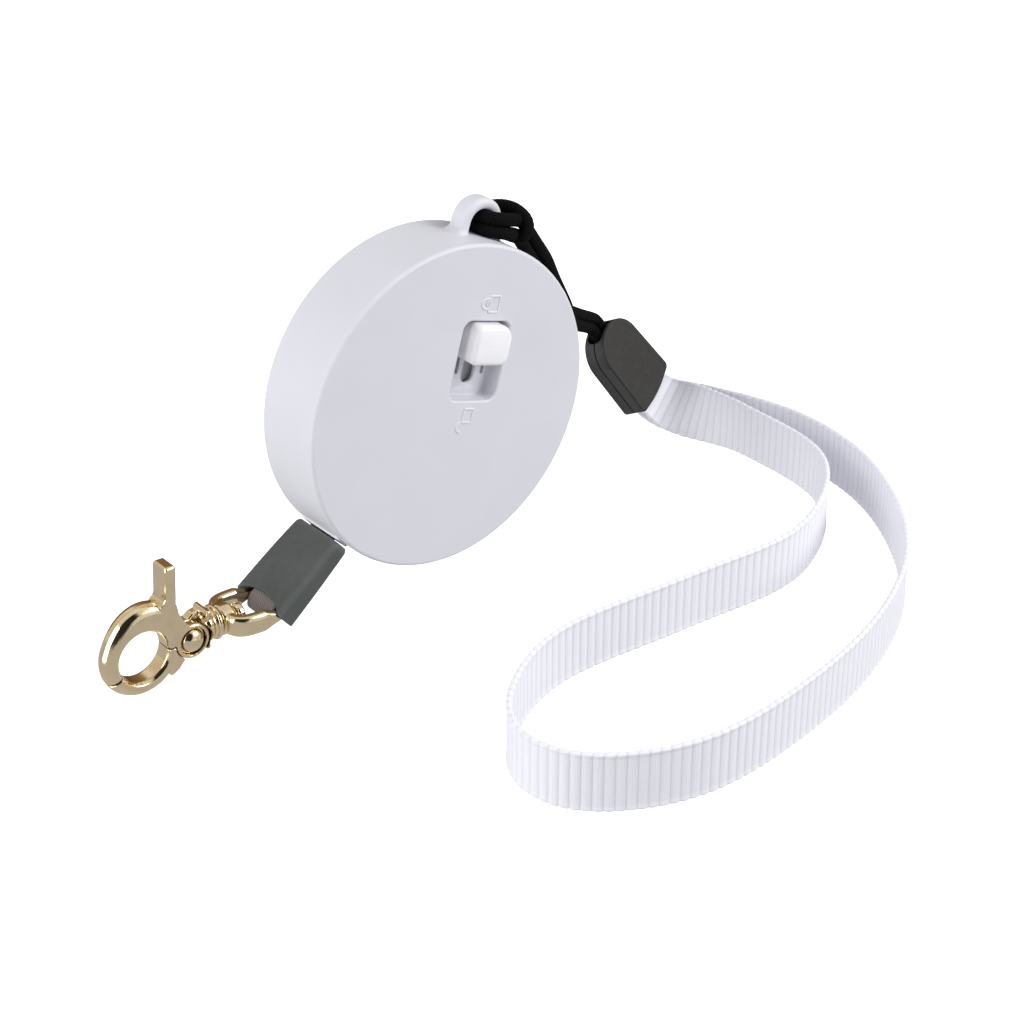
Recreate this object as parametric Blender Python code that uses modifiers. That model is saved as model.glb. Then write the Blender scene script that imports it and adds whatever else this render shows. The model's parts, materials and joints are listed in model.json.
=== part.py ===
"""Pocket retractable clothesline: a flat round spring reel with a thumb lock, a trigger hook on its line
and a wrist strap on its eyelet.

The case is modelled in a front-view frame: x to the right, y up and z towards the viewer, with the origin
at the middle of the rear face. The frame's empty stands it upright, so that in the world the front face
looks along -Y and +Z runs up towards the eyelet.
"""

from math import cos, pi, radians, sin, sqrt

import bmesh
import bpy
from mathutils import Matrix, Vector

MM = 0.001

# Case
CASE_RADIUS = 33.0 * MM
CASE_DEPTH = 16.0 * MM
MID_DEPTH = CASE_DEPTH / 2
INNER_RADIUS = 31.0 * MM
FACE_WALL = 1.4 * MM
EDGE_ROUND = 0.7 * MM
FIT_GAP = 0.3 * MM
COVER_THICKNESS = 1.7 * MM
SEAT_RADIUS = 31.9 * MM
SEAT_DEPTH = COVER_THICKNESS + FIT_GAP
CASE_STEPS = 72

# Cover screws
SCREW_ANGLES = (25.0, 150.0, 285.0)
SCREW_CIRCLE = 29.6 * MM
BOSS_RADIUS = 2.0 * MM
PILOT_RADIUS = 0.95 * MM
PILOT_DEPTH = 9.0 * MM
SCREW_HEAD_RADIUS = 1.6 * MM
SCREW_HEAD_FRONT = 0.7 * MM
SCREW_HEAD_BACK = 0.1 * MM
SCREW_SHANK_RADIUS = 0.65 * MM
SCREW_LENGTH = 7.0 * MM
COUNTERBORE_DEPTH = 0.9 * MM

# Thumb lock
RECESS_WIDTH = 11.8 * MM
RECESS_HEIGHT = 16.2 * MM
RECESS_CENTRE = Vector((4.4, 9.6)) * MM
RECESS_CORNER = 2.0 * MM
RECESS_DEPTH = 3.4 * MM
RECESS_FLOOR = 0.75 * MM
POCKET_WALL = 1.0 * MM
SLIDER_WIDTH = 9.2 * MM
SLIDER_HEIGHT = 8.1 * MM
SLIDER_PROUD = 2.6 * MM
SLIDER_CENTRE_Y = 13.35 * MM
STEM_WIDTH = 2.4 * MM
STEM_HEIGHT = 3.0 * MM
STEM_X = 5.05 * MM
SLOT_BOTTOM = 4.0 * MM
SLOT_TOP = 15.3 * MM
DETENT_SLITS = (2.0 * MM, 8.5 * MM)
PAWL_FRONT = 11.7 * MM
PAWL_BACK = 11.15 * MM
PAWL_REACH = 22.0 * MM

# Spool, coil and power spring
LINE_WIDTH = 7.6 * MM
LINE_THICKNESS = 0.65 * MM
FLANGE_RADIUS = 26.2 * MM
FLANGE_THICKNESS = 0.5 * MM
FLANGE_SPACE = 8.0 * MM
DRUM_OUTER = 12.8 * MM
DRUM_INNER = 12.0 * MM
REAR_FLANGE = COVER_THICKNESS + 0.25 * MM
FRONT_FLANGE = REAR_FLANGE + FLANGE_SPACE + 2 * FLANGE_THICKNESS
COIL_DEPTH = (REAR_FLANGE + FRONT_FLANGE) / 2
RATCHET_TEETH = 30
RATCHET_CREST = 22.5 * MM
RATCHET_ROOT = 24.0 * MM
RATCHET_OUTER = 25.6 * MM
RATCHET_HEIGHT = 0.8 * MM
COIL_OUTER = 25.8 * MM
AXLE_RADIUS = 1.0 * MM
AXLE_FRONT = 14.0 * MM
HUB_BORE = 1.1 * MM
HUB_RADIUS = 2.6 * MM
HUB_BACK = 8.8 * MM
ARBOR_RADIUS = 2.7 * MM
ARBOR_FRONT = 8.4 * MM
WASHER_RADIUS = 2.8 * MM
SPRING_INNER = 3.3 * MM
SPRING_OUTER = 11.4 * MM
SPRING_STRIP = 0.3 * MM
SPRING_TURNS = 7

# Eyelet and line exit
EYELET_ANGLE = radians(85.6)
EYELET_CENTRE = 35.35 * MM
EYELET_HOLE = 2.7 * MM
EYELET_WALL = 2.0 * MM
EYELET_DEPTH = 4.4 * MM
EYELET_LEG = 4.1 * MM
EXIT_ANGLE = radians(236.0)
LAND_RADIUS = 33.5 * MM
LAND_HALF_HEIGHT = 3.6 * MM
LAND_HALF_WIDTH = 6.2 * MM
THROAT_HALF_HEIGHT = 2.2 * MM
THROAT_HALF_WIDTH = 5.6 * MM
GUIDE_START = 29.6 * MM
GUIDE_END = 33.2 * MM
GUIDE_SLOT = Vector((0.65, 4.3)) * MM

# Sleeve and line end, along the exit
SLEEVE_START = 33.8 * MM
SLEEVE_END = 51.9 * MM
SLEEVE_THICKNESS = (3.8 * MM, 5.0 * MM)
SLEEVE_FRONT = (6.9 * MM, 6.8 * MM)
SLEEVE_REAR = (-6.2 * MM, -7.5 * MM)
SLEEVE_SCOOP = 2.4 * MM
SLEEVE_MOUTH = Vector((2.8, 1.95, 6.2)) * MM
CROSSBAR = 50.4 * MM
LOOP_START = 35.0 * MM
LOOP_LAYER = 0.42 * MM
LOOP_THICKNESS = 0.6 * MM

# Hook, along its own axis from the crossbar
HOOK_ANGLE = radians(-42.5)
EYE_WIRE = 1.05 * MM
COLLAR_BACK = 9.0 * MM
COLLAR_FRONT = 12.2 * MM
COLLAR_RADIUS = 3.0 * MM
COLLAR_BORE = 1.4 * MM
POST_RADIUS = 1.3 * MM
POST_HEAD_RADIUS = 2.1 * MM
POST_HEAD = (6.6 * MM, 8.2 * MM)
HOOK_FLANGE = (12.5 * MM, 13.4 * MM)
HOOK_FLANGE_RADIUS = 3.4 * MM
BODY_END = 17.0 * MM
BODY_HALF_HEIGHT = 3.4 * MM
HOOK_THICKNESS = 4.5 * MM
HALF_GAP = 0.12 * MM
PIVOT_X = 18.6 * MM
HOOK_DROP = 1.3 * MM
PIVOT_BOSS = 3.2 * MM
PIVOT_CLEARANCE = 3.5 * MM
RIVET_RADIUS = 1.2 * MM
RIVET_BORE = 1.3 * MM
RING_X = 29.2 * MM
RING_OUTER = 8.3 * MM
RING_SHOULDER = 2.2 * MM
RING_INNER = 5.2 * MM
JAW_SPLIT = radians(30.0)
TAB_X = 23.2 * MM
TAB_THICKNESS = 2.3 * MM
TAB_TOP = 15.9 * MM
SPRING_POCKET = 2.3 * MM
POCKET_FLOOR = -1.65 * MM

# Strap, clip and cord
CORD_RADIUS = 1.27 * MM
STRAND_OFFSET = 1.42 * MM
CLIP_CENTRE = Vector((66.3, 1.5, -4.9)) * MM
CLIP_DIRECTION = Vector((0.73, -0.624, 0.281))
CLIP_FACING = Vector((0.078, 0.484, 0.871))
CLIP_LENGTH = 20.2 * MM
CLIP_WIDTH = 14.6 * MM
CLIP_THICKNESS = 5.6 * MM
STRAP_WIDTH = 12.0 * MM
STRAP_THICKNESS = 0.9 * MM
STRAP_LAYER = 0.7 * MM
STRAP_UP = Vector((-0.287, 0.958, 0.0))
STRAP_HEIGHT = -27.5 * MM
STRAP_STEPS = 4

COLOURS = {
    "white_plastic": ((0.72, 0.72, 0.78), 0.5, 0.0),
    "slider_plastic": ((0.9, 0.9, 0.9), 0.25, 0.0),
    "inner_plastic": ((0.5, 0.5, 0.52), 0.5, 0.0),
    "dark_rubber": ((0.1, 0.11, 0.105), 0.7, 0.0),
    "black_plastic": ((0.03, 0.03, 0.03), 0.5, 0.0),
    "black_cord": ((0.01, 0.01, 0.01), 0.8, 0.0),
    "woven_line": ((0.2, 0.16, 0.14), 0.85, 0.0),
    "white_webbing": ((0.86, 0.86, 0.92), 0.8, 0.0),
    "gold_metal": ((0.62, 0.5, 0.3), 0.2, 1.0),
    "steel": ((0.6, 0.6, 0.62), 0.3, 1.0),
}


def clear_scene():
    """Remove whatever the file holds."""
    for obj in list(bpy.data.objects):
        bpy.data.objects.remove(obj, do_unlink=True)


def make_collection(name):
    group = bpy.data.collections.new(name)
    bpy.context.scene.collection.children.link(group)
    return group


def make_material(name):
    colour, roughness, metallic = COLOURS[name]
    material = bpy.data.materials.new(name)
    material.use_nodes = True
    shader = material.node_tree.nodes["Principled BSDF"]
    shader.inputs["Base Color"].default_value = (*colour, 1.0)
    shader.inputs["Roughness"].default_value = roughness
    shader.inputs["Metallic"].default_value = metallic
    return material


clear_scene()
PARTS = make_collection("retractable_clothesline")
CUTTERS = make_collection("cutters")
MATERIALS = {name: make_material(name) for name in COLOURS}


def pivot(name, parent=None, location=(0, 0, 0), turn=(0, 0, 0)):
    """An empty that a group of pieces hangs on."""
    empty = bpy.data.objects.new(name, None)
    PARTS.objects.link(empty)
    empty.parent = parent
    empty.location = location
    empty.rotation_euler = turn
    return empty


def adopt(obj, name, parent, location=(0, 0, 0), turn=(0, 0, 0)):
    """Name an object, put it in the cutters and hang it on its parent."""
    obj.name = name
    for group in list(obj.users_collection):
        group.objects.unlink(obj)
    CUTTERS.objects.link(obj)
    obj.hide_render = True
    obj.display_type = "WIRE"
    obj.parent = parent
    obj.location = location
    obj.rotation_euler = turn
    return obj


def finish(obj, material):
    """Make a modelled object one of the parts."""
    CUTTERS.objects.unlink(obj)
    PARTS.objects.link(obj)
    obj.hide_render = False
    obj.display_type = "TEXTURED"
    obj.data.materials.clear()
    obj.data.materials.append(MATERIALS[material])
    obj.data.shade_smooth()
    obj.data.set_sharp_from_angle(angle=radians(35))
    return obj


def rehang(obj, parent):
    """Hang a finished piece on another empty without moving it."""
    bpy.context.view_layer.update()
    place = obj.matrix_world.copy()
    obj.parent = parent
    obj.matrix_parent_inverse = parent.matrix_world.inverted()
    obj.matrix_basis = place
    return obj


def boolean(target, tool, operation):
    modifier = target.modifiers.new(operation.lower(), "BOOLEAN")
    modifier.operation = operation
    modifier.object = tool
    modifier.solver = "EXACT"


def cut(target, *tools):
    for tool in tools:
        boolean(target, tool, "DIFFERENCE")


def join(target, *tools):
    for tool in tools:
        boolean(target, tool, "UNION")


def bevel(obj, width, segments=2, angle=40.0):
    modifier = obj.modifiers.new("edges", "BEVEL")
    modifier.width = width
    modifier.segments = segments
    modifier.limit_method = "ANGLE"
    modifier.angle_limit = radians(angle)


def box(name, parent, low, high):
    """A box between two corners."""
    low, high = Vector(low), Vector(high)
    bpy.ops.mesh.primitive_cube_add(size=1)
    obj = bpy.context.active_object
    obj.data.transform(Matrix.Diagonal((*(high - low), 1)))
    return adopt(obj, name, parent, (low + high) / 2)


def rod(name, parent, radius, back, front, x=0.0, y=0.0, sides=32):
    """A cylinder along z."""
    bpy.ops.mesh.primitive_cylinder_add(vertices=sides, radius=radius, depth=front - back)
    return adopt(bpy.context.active_object, name, parent, (x, y, (back + front) / 2))


def cross_rod(name, parent, radius, start, end, sides=32):
    """A cylinder along x."""
    bpy.ops.mesh.primitive_cylinder_add(vertices=sides, radius=radius, depth=end - start)
    return adopt(bpy.context.active_object, name, parent, ((start + end) / 2, 0, 0), (0, pi / 2, 0))


def turned(name, parent, profile, steps, closed=False):
    """Turn a profile of (radius, height) points about z."""
    mesh = bpy.data.meshes.new(name)
    edges = [(i, i + 1) for i in range(len(profile) - 1)]
    if closed:
        edges.append((len(profile) - 1, 0))
    mesh.from_pydata([(r, 0, z) for r, z in profile], edges, [])
    obj = linked(name, mesh, parent)
    screw = obj.modifiers.new("turn", "SCREW")
    screw.steps = steps
    screw.render_steps = steps
    screw.use_merge_vertices = True
    screw.merge_threshold = 0.00001
    return obj


def linked(name, mesh, parent):
    """A new cutter object around a mesh."""
    return adopt(bpy.data.objects.new(name, mesh), name, parent)


def curve_mesh(curve, name, parent):
    """Turn a filled curve into a welded mesh object."""
    bpy.context.view_layer.update()
    graph = bpy.context.evaluated_depsgraph_get()
    mesh = bpy.data.meshes.new_from_object(curve.evaluated_get(graph))
    shape = bmesh.new()
    shape.from_mesh(mesh)
    bmesh.ops.remove_doubles(shape, verts=shape.verts, dist=0.000001)
    shape.to_mesh(mesh)
    shape.free()
    obj = linked(name, mesh, parent)
    obj.matrix_local = curve.matrix_local
    bpy.data.objects.remove(curve, do_unlink=True)
    return obj


def curve_object(name, dimensions, splines, cyclic):
    data = bpy.data.curves.new(name + "_curve", "CURVE")
    data.dimensions = dimensions
    for points in splines:
        spline = data.splines.new("POLY")
        spline.points.add(len(points) - 1)
        for point, place in zip(spline.points, points):
            point.co = (*place, *([0.0] * (3 - len(place))), 1.0)
        spline.use_cyclic_u = cyclic
    curve = bpy.data.objects.new(name + "_curve", data)
    CUTTERS.objects.link(curve)
    return curve


def plate(name, parent, outlines, back, front):
    """A flat solid with closed outlines in the x-y plane; inner outlines are holes."""
    curve = curve_object(name, "2D", outlines, True)
    curve.data.fill_mode = "BOTH"
    curve.data.extrude = (front - back) / 2
    curve.location = (0, 0, (back + front) / 2)
    return curve_mesh(curve, name, parent)


def tube(name, parent, points, radius, cyclic=False, smoothness=2):
    """A round tube along points."""
    curve = curve_object(name, "3D", [points], cyclic)
    curve.data.bevel_depth = radius
    curve.data.bevel_resolution = smoothness
    curve.data.use_fill_caps = True
    return curve_mesh(curve, name, parent)


def ribbon(name, parent, centres, rulings, width, thickness):
    """A strip across its rulings along its centres, thickened evenly to both sides."""
    mesh = bpy.data.meshes.new(name)
    shape = bmesh.new()
    rows = []
    for centre, ruling in zip(centres, rulings):
        half = Vector(ruling).normalized() * width / 2
        rows.append((shape.verts.new(centre - half), shape.verts.new(centre + half)))
    for row, after in zip(rows, rows[1:]):
        shape.faces.new((row[0], after[0], after[1], row[1]))
    shape.to_mesh(mesh)
    shape.free()
    obj = linked(name, mesh, parent)
    modifier = obj.modifiers.new("thickness", "SOLIDIFY")
    modifier.thickness = thickness
    modifier.offset = 0.0
    return obj


def arc(centre, radius, start, end, steps):
    """Points on an arc, from one angle to another in radians."""
    turns = [start + (end - start) * i / steps for i in range(steps + 1)]
    return [(centre[0] + radius * cos(a), centre[1] + radius * sin(a)) for a in turns]


def rounded_rectangle(centre, width, height, corner, steps=4):
    outline = []
    for quarter, (side, rise) in enumerate(((1, 1), (-1, 1), (-1, -1), (1, -1))):
        middle = (
            centre[0] + side * (width / 2 - corner),
            centre[1] + rise * (height / 2 - corner),
        )
        outline += arc(middle, corner, quarter * pi / 2, (quarter + 1) * pi / 2, steps)
    return outline


def smooth_path(points, steps):
    """A curve through every point, in even parameter steps (Catmull-Rom)."""
    points = [Vector(p) for p in points]
    ends = [2 * points[0] - points[1], *points, 2 * points[-1] - points[-2]]
    path = []
    for a, b, c, d in zip(ends, ends[1:], ends[2:], ends[3:]):
        for i in range(steps):
            t = i / steps
            path.append(
                0.5 * (2 * b + (c - a) * t + (2 * a - 5 * b + 4 * c - d) * t**2
                       + (3 * b - 3 * c + d - a) * t**3)
            )
    path.append(points[-1])
    return path


def polar(radius, angle):
    return Vector((radius * cos(angle), radius * sin(angle)))


def boss_places():
    return [polar(SCREW_CIRCLE, radians(angle)) for angle in SCREW_ANGLES]


# Case


def eyelet_blank(frame):
    """The arch on the rim, a half ring on two straight legs."""
    outer = EYELET_HOLE + EYELET_WALL
    outline = [(-EYELET_LEG, -outer), *arc((0, 0), outer, -pi / 2, pi / 2, 20), (-EYELET_LEG, outer)]
    half = EYELET_DEPTH / 2
    arch = plate("eyelet_arch", frame, [outline], -half, half)
    bevel(arch, 0.7 * MM)
    return arch


def make_front_housing(case, exit_frame, eyelet_frame):
    depth, radius, rounding = CASE_DEPTH, CASE_RADIUS, EDGE_ROUND
    front_edge = arc((radius - rounding, depth - rounding), rounding, pi / 2, 0, 2)
    rear_edge = arc((radius - rounding, rounding), rounding, 0, -pi / 2, 2)
    profile = [
        (0, depth), *front_edge, *rear_edge,
        (SEAT_RADIUS, 0), (SEAT_RADIUS, SEAT_DEPTH), (INNER_RADIUS, SEAT_DEPTH),
        (INNER_RADIUS, depth - FACE_WALL), (0, depth - FACE_WALL),
    ]
    housing = turned("front_housing", case, profile, CASE_STEPS)
    inside = depth - FACE_WALL
    floor = depth - RECESS_DEPTH - RECESS_FLOOR
    pocket = plate("pocket", case, [rounded_rectangle(
        RECESS_CENTRE, RECESS_WIDTH + 2 * POCKET_WALL, RECESS_HEIGHT + 2 * POCKET_WALL,
        RECESS_CORNER + POCKET_WALL)], floor, inside + 0.5 * MM)
    axle_boss = rod("axle_boss", case, 2.4 * MM, FRONT_FLANGE + 0.8 * MM, inside + 0.3 * MM)
    bosses = [
        rod(f"screw_boss_{i}", case, BOSS_RADIUS, SEAT_DEPTH, inside + 0.4 * MM, *place)
        for i, place in enumerate(boss_places())
    ]
    land = box("mouth_land", exit_frame, (31.5 * MM, -LAND_HALF_HEIGHT, -LAND_HALF_WIDTH),
               (LAND_RADIUS, LAND_HALF_HEIGHT, LAND_HALF_WIDTH))
    bevel(land, 0.3 * MM, 1)
    join(housing, eyelet_blank(eyelet_frame), land, pocket, axle_boss, *bosses)

    recess = plate("recess", case, [rounded_rectangle(
        RECESS_CENTRE, RECESS_WIDTH, RECESS_HEIGHT, RECESS_CORNER)],
        depth - RECESS_DEPTH, depth + 1 * MM)
    slot_width = STEM_WIDTH + 2 * FIT_GAP
    slot_centre = (STEM_X, (SLOT_BOTTOM + SLOT_TOP) / 2)
    slot = plate("guide_slot", case, [rounded_rectangle(
        slot_centre, slot_width, SLOT_TOP - SLOT_BOTTOM, 1.1 * MM)], floor - 1 * MM, depth)
    slits = [
        box(f"detent_slit_{i}", case, (x - 0.35 * MM, 5.9 * MM, floor - 1 * MM),
            (x + 0.35 * MM, 13.3 * MM, depth))
        for i, x in enumerate(DETENT_SLITS)
    ]
    hole = rod("eyelet_hole", eyelet_frame, EYELET_HOLE, -4 * MM, 4 * MM, sides=28)
    throat = box("throat", exit_frame, (28 * MM, -THROAT_HALF_HEIGHT, -THROAT_HALF_WIDTH),
                 (36 * MM, THROAT_HALF_HEIGHT, THROAT_HALF_WIDTH))
    axle_hole = rod("axle_hole", case, AXLE_RADIUS + 0.15 * MM, 11 * MM, AXLE_FRONT + 0.2 * MM)
    pilots = [
        rod(f"pilot_{i}", case, PILOT_RADIUS, 1 * MM, PILOT_DEPTH, *place, 16)
        for i, place in enumerate(boss_places())
    ]
    cut(housing, recess, slot, *slits, hole, throat, axle_hole, *pilots)
    return finish(housing, "white_plastic")


def make_rear_cover(case):
    edge = 0.3 * MM
    radius = SEAT_RADIUS - FIT_GAP
    profile = [
        (0, COVER_THICKNESS), (radius - edge, COVER_THICKNESS), (radius, COVER_THICKNESS - edge),
        (radius, edge), (radius - edge, 0), (0, 0),
    ]
    cover = turned("rear_cover", case, profile, CASE_STEPS)
    for i, place in enumerate(boss_places()):
        cut(cover, rod(f"cover_hole_{i}", case, 1.0 * MM, -1 * MM, 3 * MM, *place, 20),
            rod(f"counterbore_{i}", case, 1.9 * MM, -1 * MM, COUNTERBORE_DEPTH, *place, 28))
    return finish(cover, "white_plastic")


def make_cover_screw(case, number, place):
    """Pan head with a cross recess, and a plain shank in its pilot hole."""
    head, shank = SCREW_HEAD_RADIUS, SCREW_SHANK_RADIUS
    profile = [
        (0, SCREW_LENGTH), (shank * 0.4, SCREW_LENGTH), (shank, SCREW_LENGTH - 1 * MM),
        (shank, SCREW_HEAD_FRONT), (head, SCREW_HEAD_FRONT), (head, SCREW_HEAD_BACK + 0.2 * MM),
        (head * 0.7, SCREW_HEAD_BACK), (0, SCREW_HEAD_BACK),
    ]
    screw = turned(f"cover_screw_{number}", case, profile, 20)
    screw.location = (*place, 0)
    for name, half in (("wide", (0.9 * MM, 0.18 * MM)), ("tall", (0.18 * MM, 0.9 * MM))):
        bar = box(f"cross_{name}_{number}", case, (-half[0], -half[1], -0.3 * MM),
                  (half[0], half[1], SCREW_HEAD_BACK + 0.35 * MM))
        bar.location.x += place.x
        bar.location.y += place.y
        cut(screw, bar)
    return finish(screw, "steel")


def make_spool_axle(case):
    chamfer = 0.2 * MM
    front, back = AXLE_FRONT, COVER_THICKNESS + FIT_GAP
    profile = [
        (0, front), (AXLE_RADIUS - chamfer, front), (AXLE_RADIUS, front - chamfer),
        (AXLE_RADIUS, back + chamfer), (AXLE_RADIUS - chamfer, back), (0, back),
    ]
    return finish(turned("spool_axle", case, profile, 24), "steel")


def make_spring_arbor(case):
    """Tube round the axle, slotted for the inner end of the spring."""
    bore, base = AXLE_RADIUS + 0.2 * MM, COVER_THICKNESS + FIT_GAP
    profile = [(bore, ARBOR_FRONT), (ARBOR_RADIUS, ARBOR_FRONT), (ARBOR_RADIUS, base), (bore, base)]
    arbor = turned("spring_arbor", case, profile, 28, closed=True)
    cut(arbor, box("arbor_slot", case, (0.3 * MM, -0.3 * MM, base + 1 * MM),
                   (4 * MM, 0.3 * MM, ARBOR_FRONT + 1 * MM)))
    return finish(arbor, "steel")


def make_exit_guide(exit_frame):
    gap = FIT_GAP
    guide = box("exit_guide", exit_frame,
                (GUIDE_START, -THROAT_HALF_HEIGHT + gap, -THROAT_HALF_WIDTH + gap),
                (GUIDE_END, THROAT_HALF_HEIGHT - gap, THROAT_HALF_WIDTH - gap))
    bevel(guide, 0.3 * MM, 1)
    half_height, half_width = GUIDE_SLOT
    cut(guide, box("guide_slot_cut", exit_frame, (28 * MM, -half_height, -half_width),
                   (35 * MM, half_height, half_width)))
    return finish(guide, "inner_plastic")


def make_thrust_washer(case):
    """Washer on the axle, between the spool's web and the boss of the housing."""
    inner, back, front = HUB_BORE + 0.1 * MM, FRONT_FLANGE + 0.2 * MM, FRONT_FLANGE + 0.6 * MM
    profile = [(inner, front), (WASHER_RADIUS, front), (WASHER_RADIUS, back), (inner, back)]
    return finish(turned("thrust_washer", case, profile, 28, closed=True), "inner_plastic")


def make_line_run(exit_frame):
    """Line from the outside of the coil, round the guide's lip and out through its slot."""
    bends = ((26.65, -44), (26.8, -32), (27.0, -21), (27.3, -12), (27.9, -5.5), (28.8, -1.7))
    drift = (COIL_DEPTH - MID_DEPTH) / len(bends)
    points = [
        (*polar(radius * MM, radians(angle)), drift * (len(bends) - i))
        for i, (radius, angle) in enumerate(bends)
    ]
    points += [(30.0 * MM, -0.1 * MM, 0), (31.5 * MM, 0, 0), (33.2 * MM, 0, 0)]
    path = smooth_path(points, 3)
    across = [Vector((0, 0, 1))] * len(path)
    run = ribbon("line_run", exit_frame, path, across, LINE_WIDTH, LINE_THICKNESS)
    return finish(run, "woven_line")


# Spool


def ratchet_outline():
    """Saw teeth pointing inwards, steep on the side that stops the line from winding in."""
    outline = []
    pitch = 2 * pi / RATCHET_TEETH
    for tooth in range(RATCHET_TEETH):
        start = tooth * pitch
        outline.append(tuple(polar(RATCHET_ROOT, start)))
        outline.append(tuple(polar(RATCHET_ROOT, start + 0.2 * pitch)))
        outline.append(tuple(polar(RATCHET_CREST, start + 0.92 * pitch)))
    return outline


def make_spool(case, spool_pivot):
    """Drum between two flanges, with its hub on the axle and the ratchet on its front flange."""
    front, rear = FRONT_FLANGE, REAR_FLANGE
    web = front - 0.8 * MM
    profile = [
        (HUB_BORE, front), (FLANGE_RADIUS, front), (FLANGE_RADIUS, front - FLANGE_THICKNESS),
        (DRUM_OUTER, front - FLANGE_THICKNESS), (DRUM_OUTER, rear + FLANGE_THICKNESS),
        (FLANGE_RADIUS, rear + FLANGE_THICKNESS), (FLANGE_RADIUS, rear), (DRUM_INNER, rear),
        (DRUM_INNER, web), (HUB_RADIUS, web), (HUB_RADIUS, HUB_BACK), (HUB_BORE, HUB_BACK),
    ]
    spool = turned("spool", case, profile, 48, closed=True)
    rim = arc((0, 0), RATCHET_OUTER, 0, 2 * pi, 48)[:-1]
    ratchet = plate("ratchet", case, [rim, ratchet_outline()], front - 0.3 * MM, front + RATCHET_HEIGHT)
    join(spool, ratchet)
    return rehang(finish(spool, "inner_plastic"), spool_pivot)


def make_line_coil(case, spool_pivot):
    half = LINE_WIDTH / 2
    inner = DRUM_OUTER + 0.2 * MM
    profile = [
        (inner, COIL_DEPTH + half), (COIL_OUTER, COIL_DEPTH + half),
        (COIL_OUTER, COIL_DEPTH - half), (inner, COIL_DEPTH - half),
    ]
    coil = turned("line_coil", case, profile, 48, closed=True)
    return rehang(finish(coil, "woven_line"), spool_pivot)


def make_power_spring(case, spool_pivot):
    """Flat spiral strip between the arbor and the drum."""
    steps = SPRING_TURNS * 16
    growth = (SPRING_OUTER - SPRING_INNER) / steps
    back, front = REAR_FLANGE + 0.9 * MM, ARBOR_FRONT
    path = []
    for i in range(steps + 1):
        place = polar(SPRING_INNER + growth * i, 2 * pi * i / 16)
        path.append(Vector((place.x, place.y, (back + front) / 2)))
    across = [Vector((0, 0, 1))] * len(path)
    spring = ribbon("power_spring", case, path, across, front - back, SPRING_STRIP)
    return rehang(finish(spring, "steel"), spool_pivot)


def make_spring_cover(case, spool_pivot):
    """Disc that keeps the spring in the drum."""
    inner, outer = ARBOR_RADIUS + 0.3 * MM, DRUM_INNER - 0.2 * MM
    back, front = REAR_FLANGE, REAR_FLANGE + FLANGE_THICKNESS
    profile = [(inner, front), (outer, front), (outer, back), (inner, back)]
    cover = turned("spring_cover", case, profile, 48, closed=True)
    return rehang(finish(cover, "inner_plastic"), spool_pivot)


# Lock


def make_lock_slider(case, lock_pivot):
    half_width, half_height = SLIDER_WIDTH / 2, SLIDER_HEIGHT / 2
    bottom = CASE_DEPTH - RECESS_DEPTH + FIT_GAP
    x, y = STEM_X, SLIDER_CENTRE_Y
    slider = box("lock_slider", case, (x - half_width, y - half_height, bottom),
                 (x + half_width, y + half_height, CASE_DEPTH + SLIDER_PROUD))
    bevel(slider, 1.1 * MM, 3)
    stem = box("slider_stem", case, (x - STEM_WIDTH / 2, y - STEM_HEIGHT / 2, PAWL_BACK),
               (x + STEM_WIDTH / 2, y + STEM_HEIGHT / 2, bottom + 1 * MM))
    join(slider, stem)
    return rehang(finish(slider, "slider_plastic"), lock_pivot)


def make_lock_pawl(case, lock_pivot):
    """Plate on the slider's stem with two teeth towards the ratchet."""
    x, y = RECESS_CENTRE.x, SLIDER_CENTRE_Y
    half = 3.5 * MM
    bottom = y - 3.0 * MM
    outline = [(x - half, bottom), (x + half, bottom), (x + half, 18.2 * MM)]
    for step in (1.8, 0.0, -1.8):
        tip = x + step * MM
        crest = sqrt(PAWL_REACH**2 - tip**2)
        outline += [(tip + 0.9 * MM, crest - 1.3 * MM), (tip, crest)]
    outline.append((x - half, 18.8 * MM))
    pawl = plate("lock_pawl", case, [outline], PAWL_BACK, PAWL_FRONT)
    cut(pawl, box("stem_hole", case,
                  (STEM_X - STEM_WIDTH / 2 - 0.2 * MM, y - STEM_HEIGHT / 2 - 0.2 * MM, 10 * MM),
                  (STEM_X + STEM_WIDTH / 2 + 0.2 * MM, y + STEM_HEIGHT / 2 + 0.2 * MM, 14 * MM)))
    return rehang(finish(pawl, "inner_plastic"), lock_pivot)


# Line end


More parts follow.
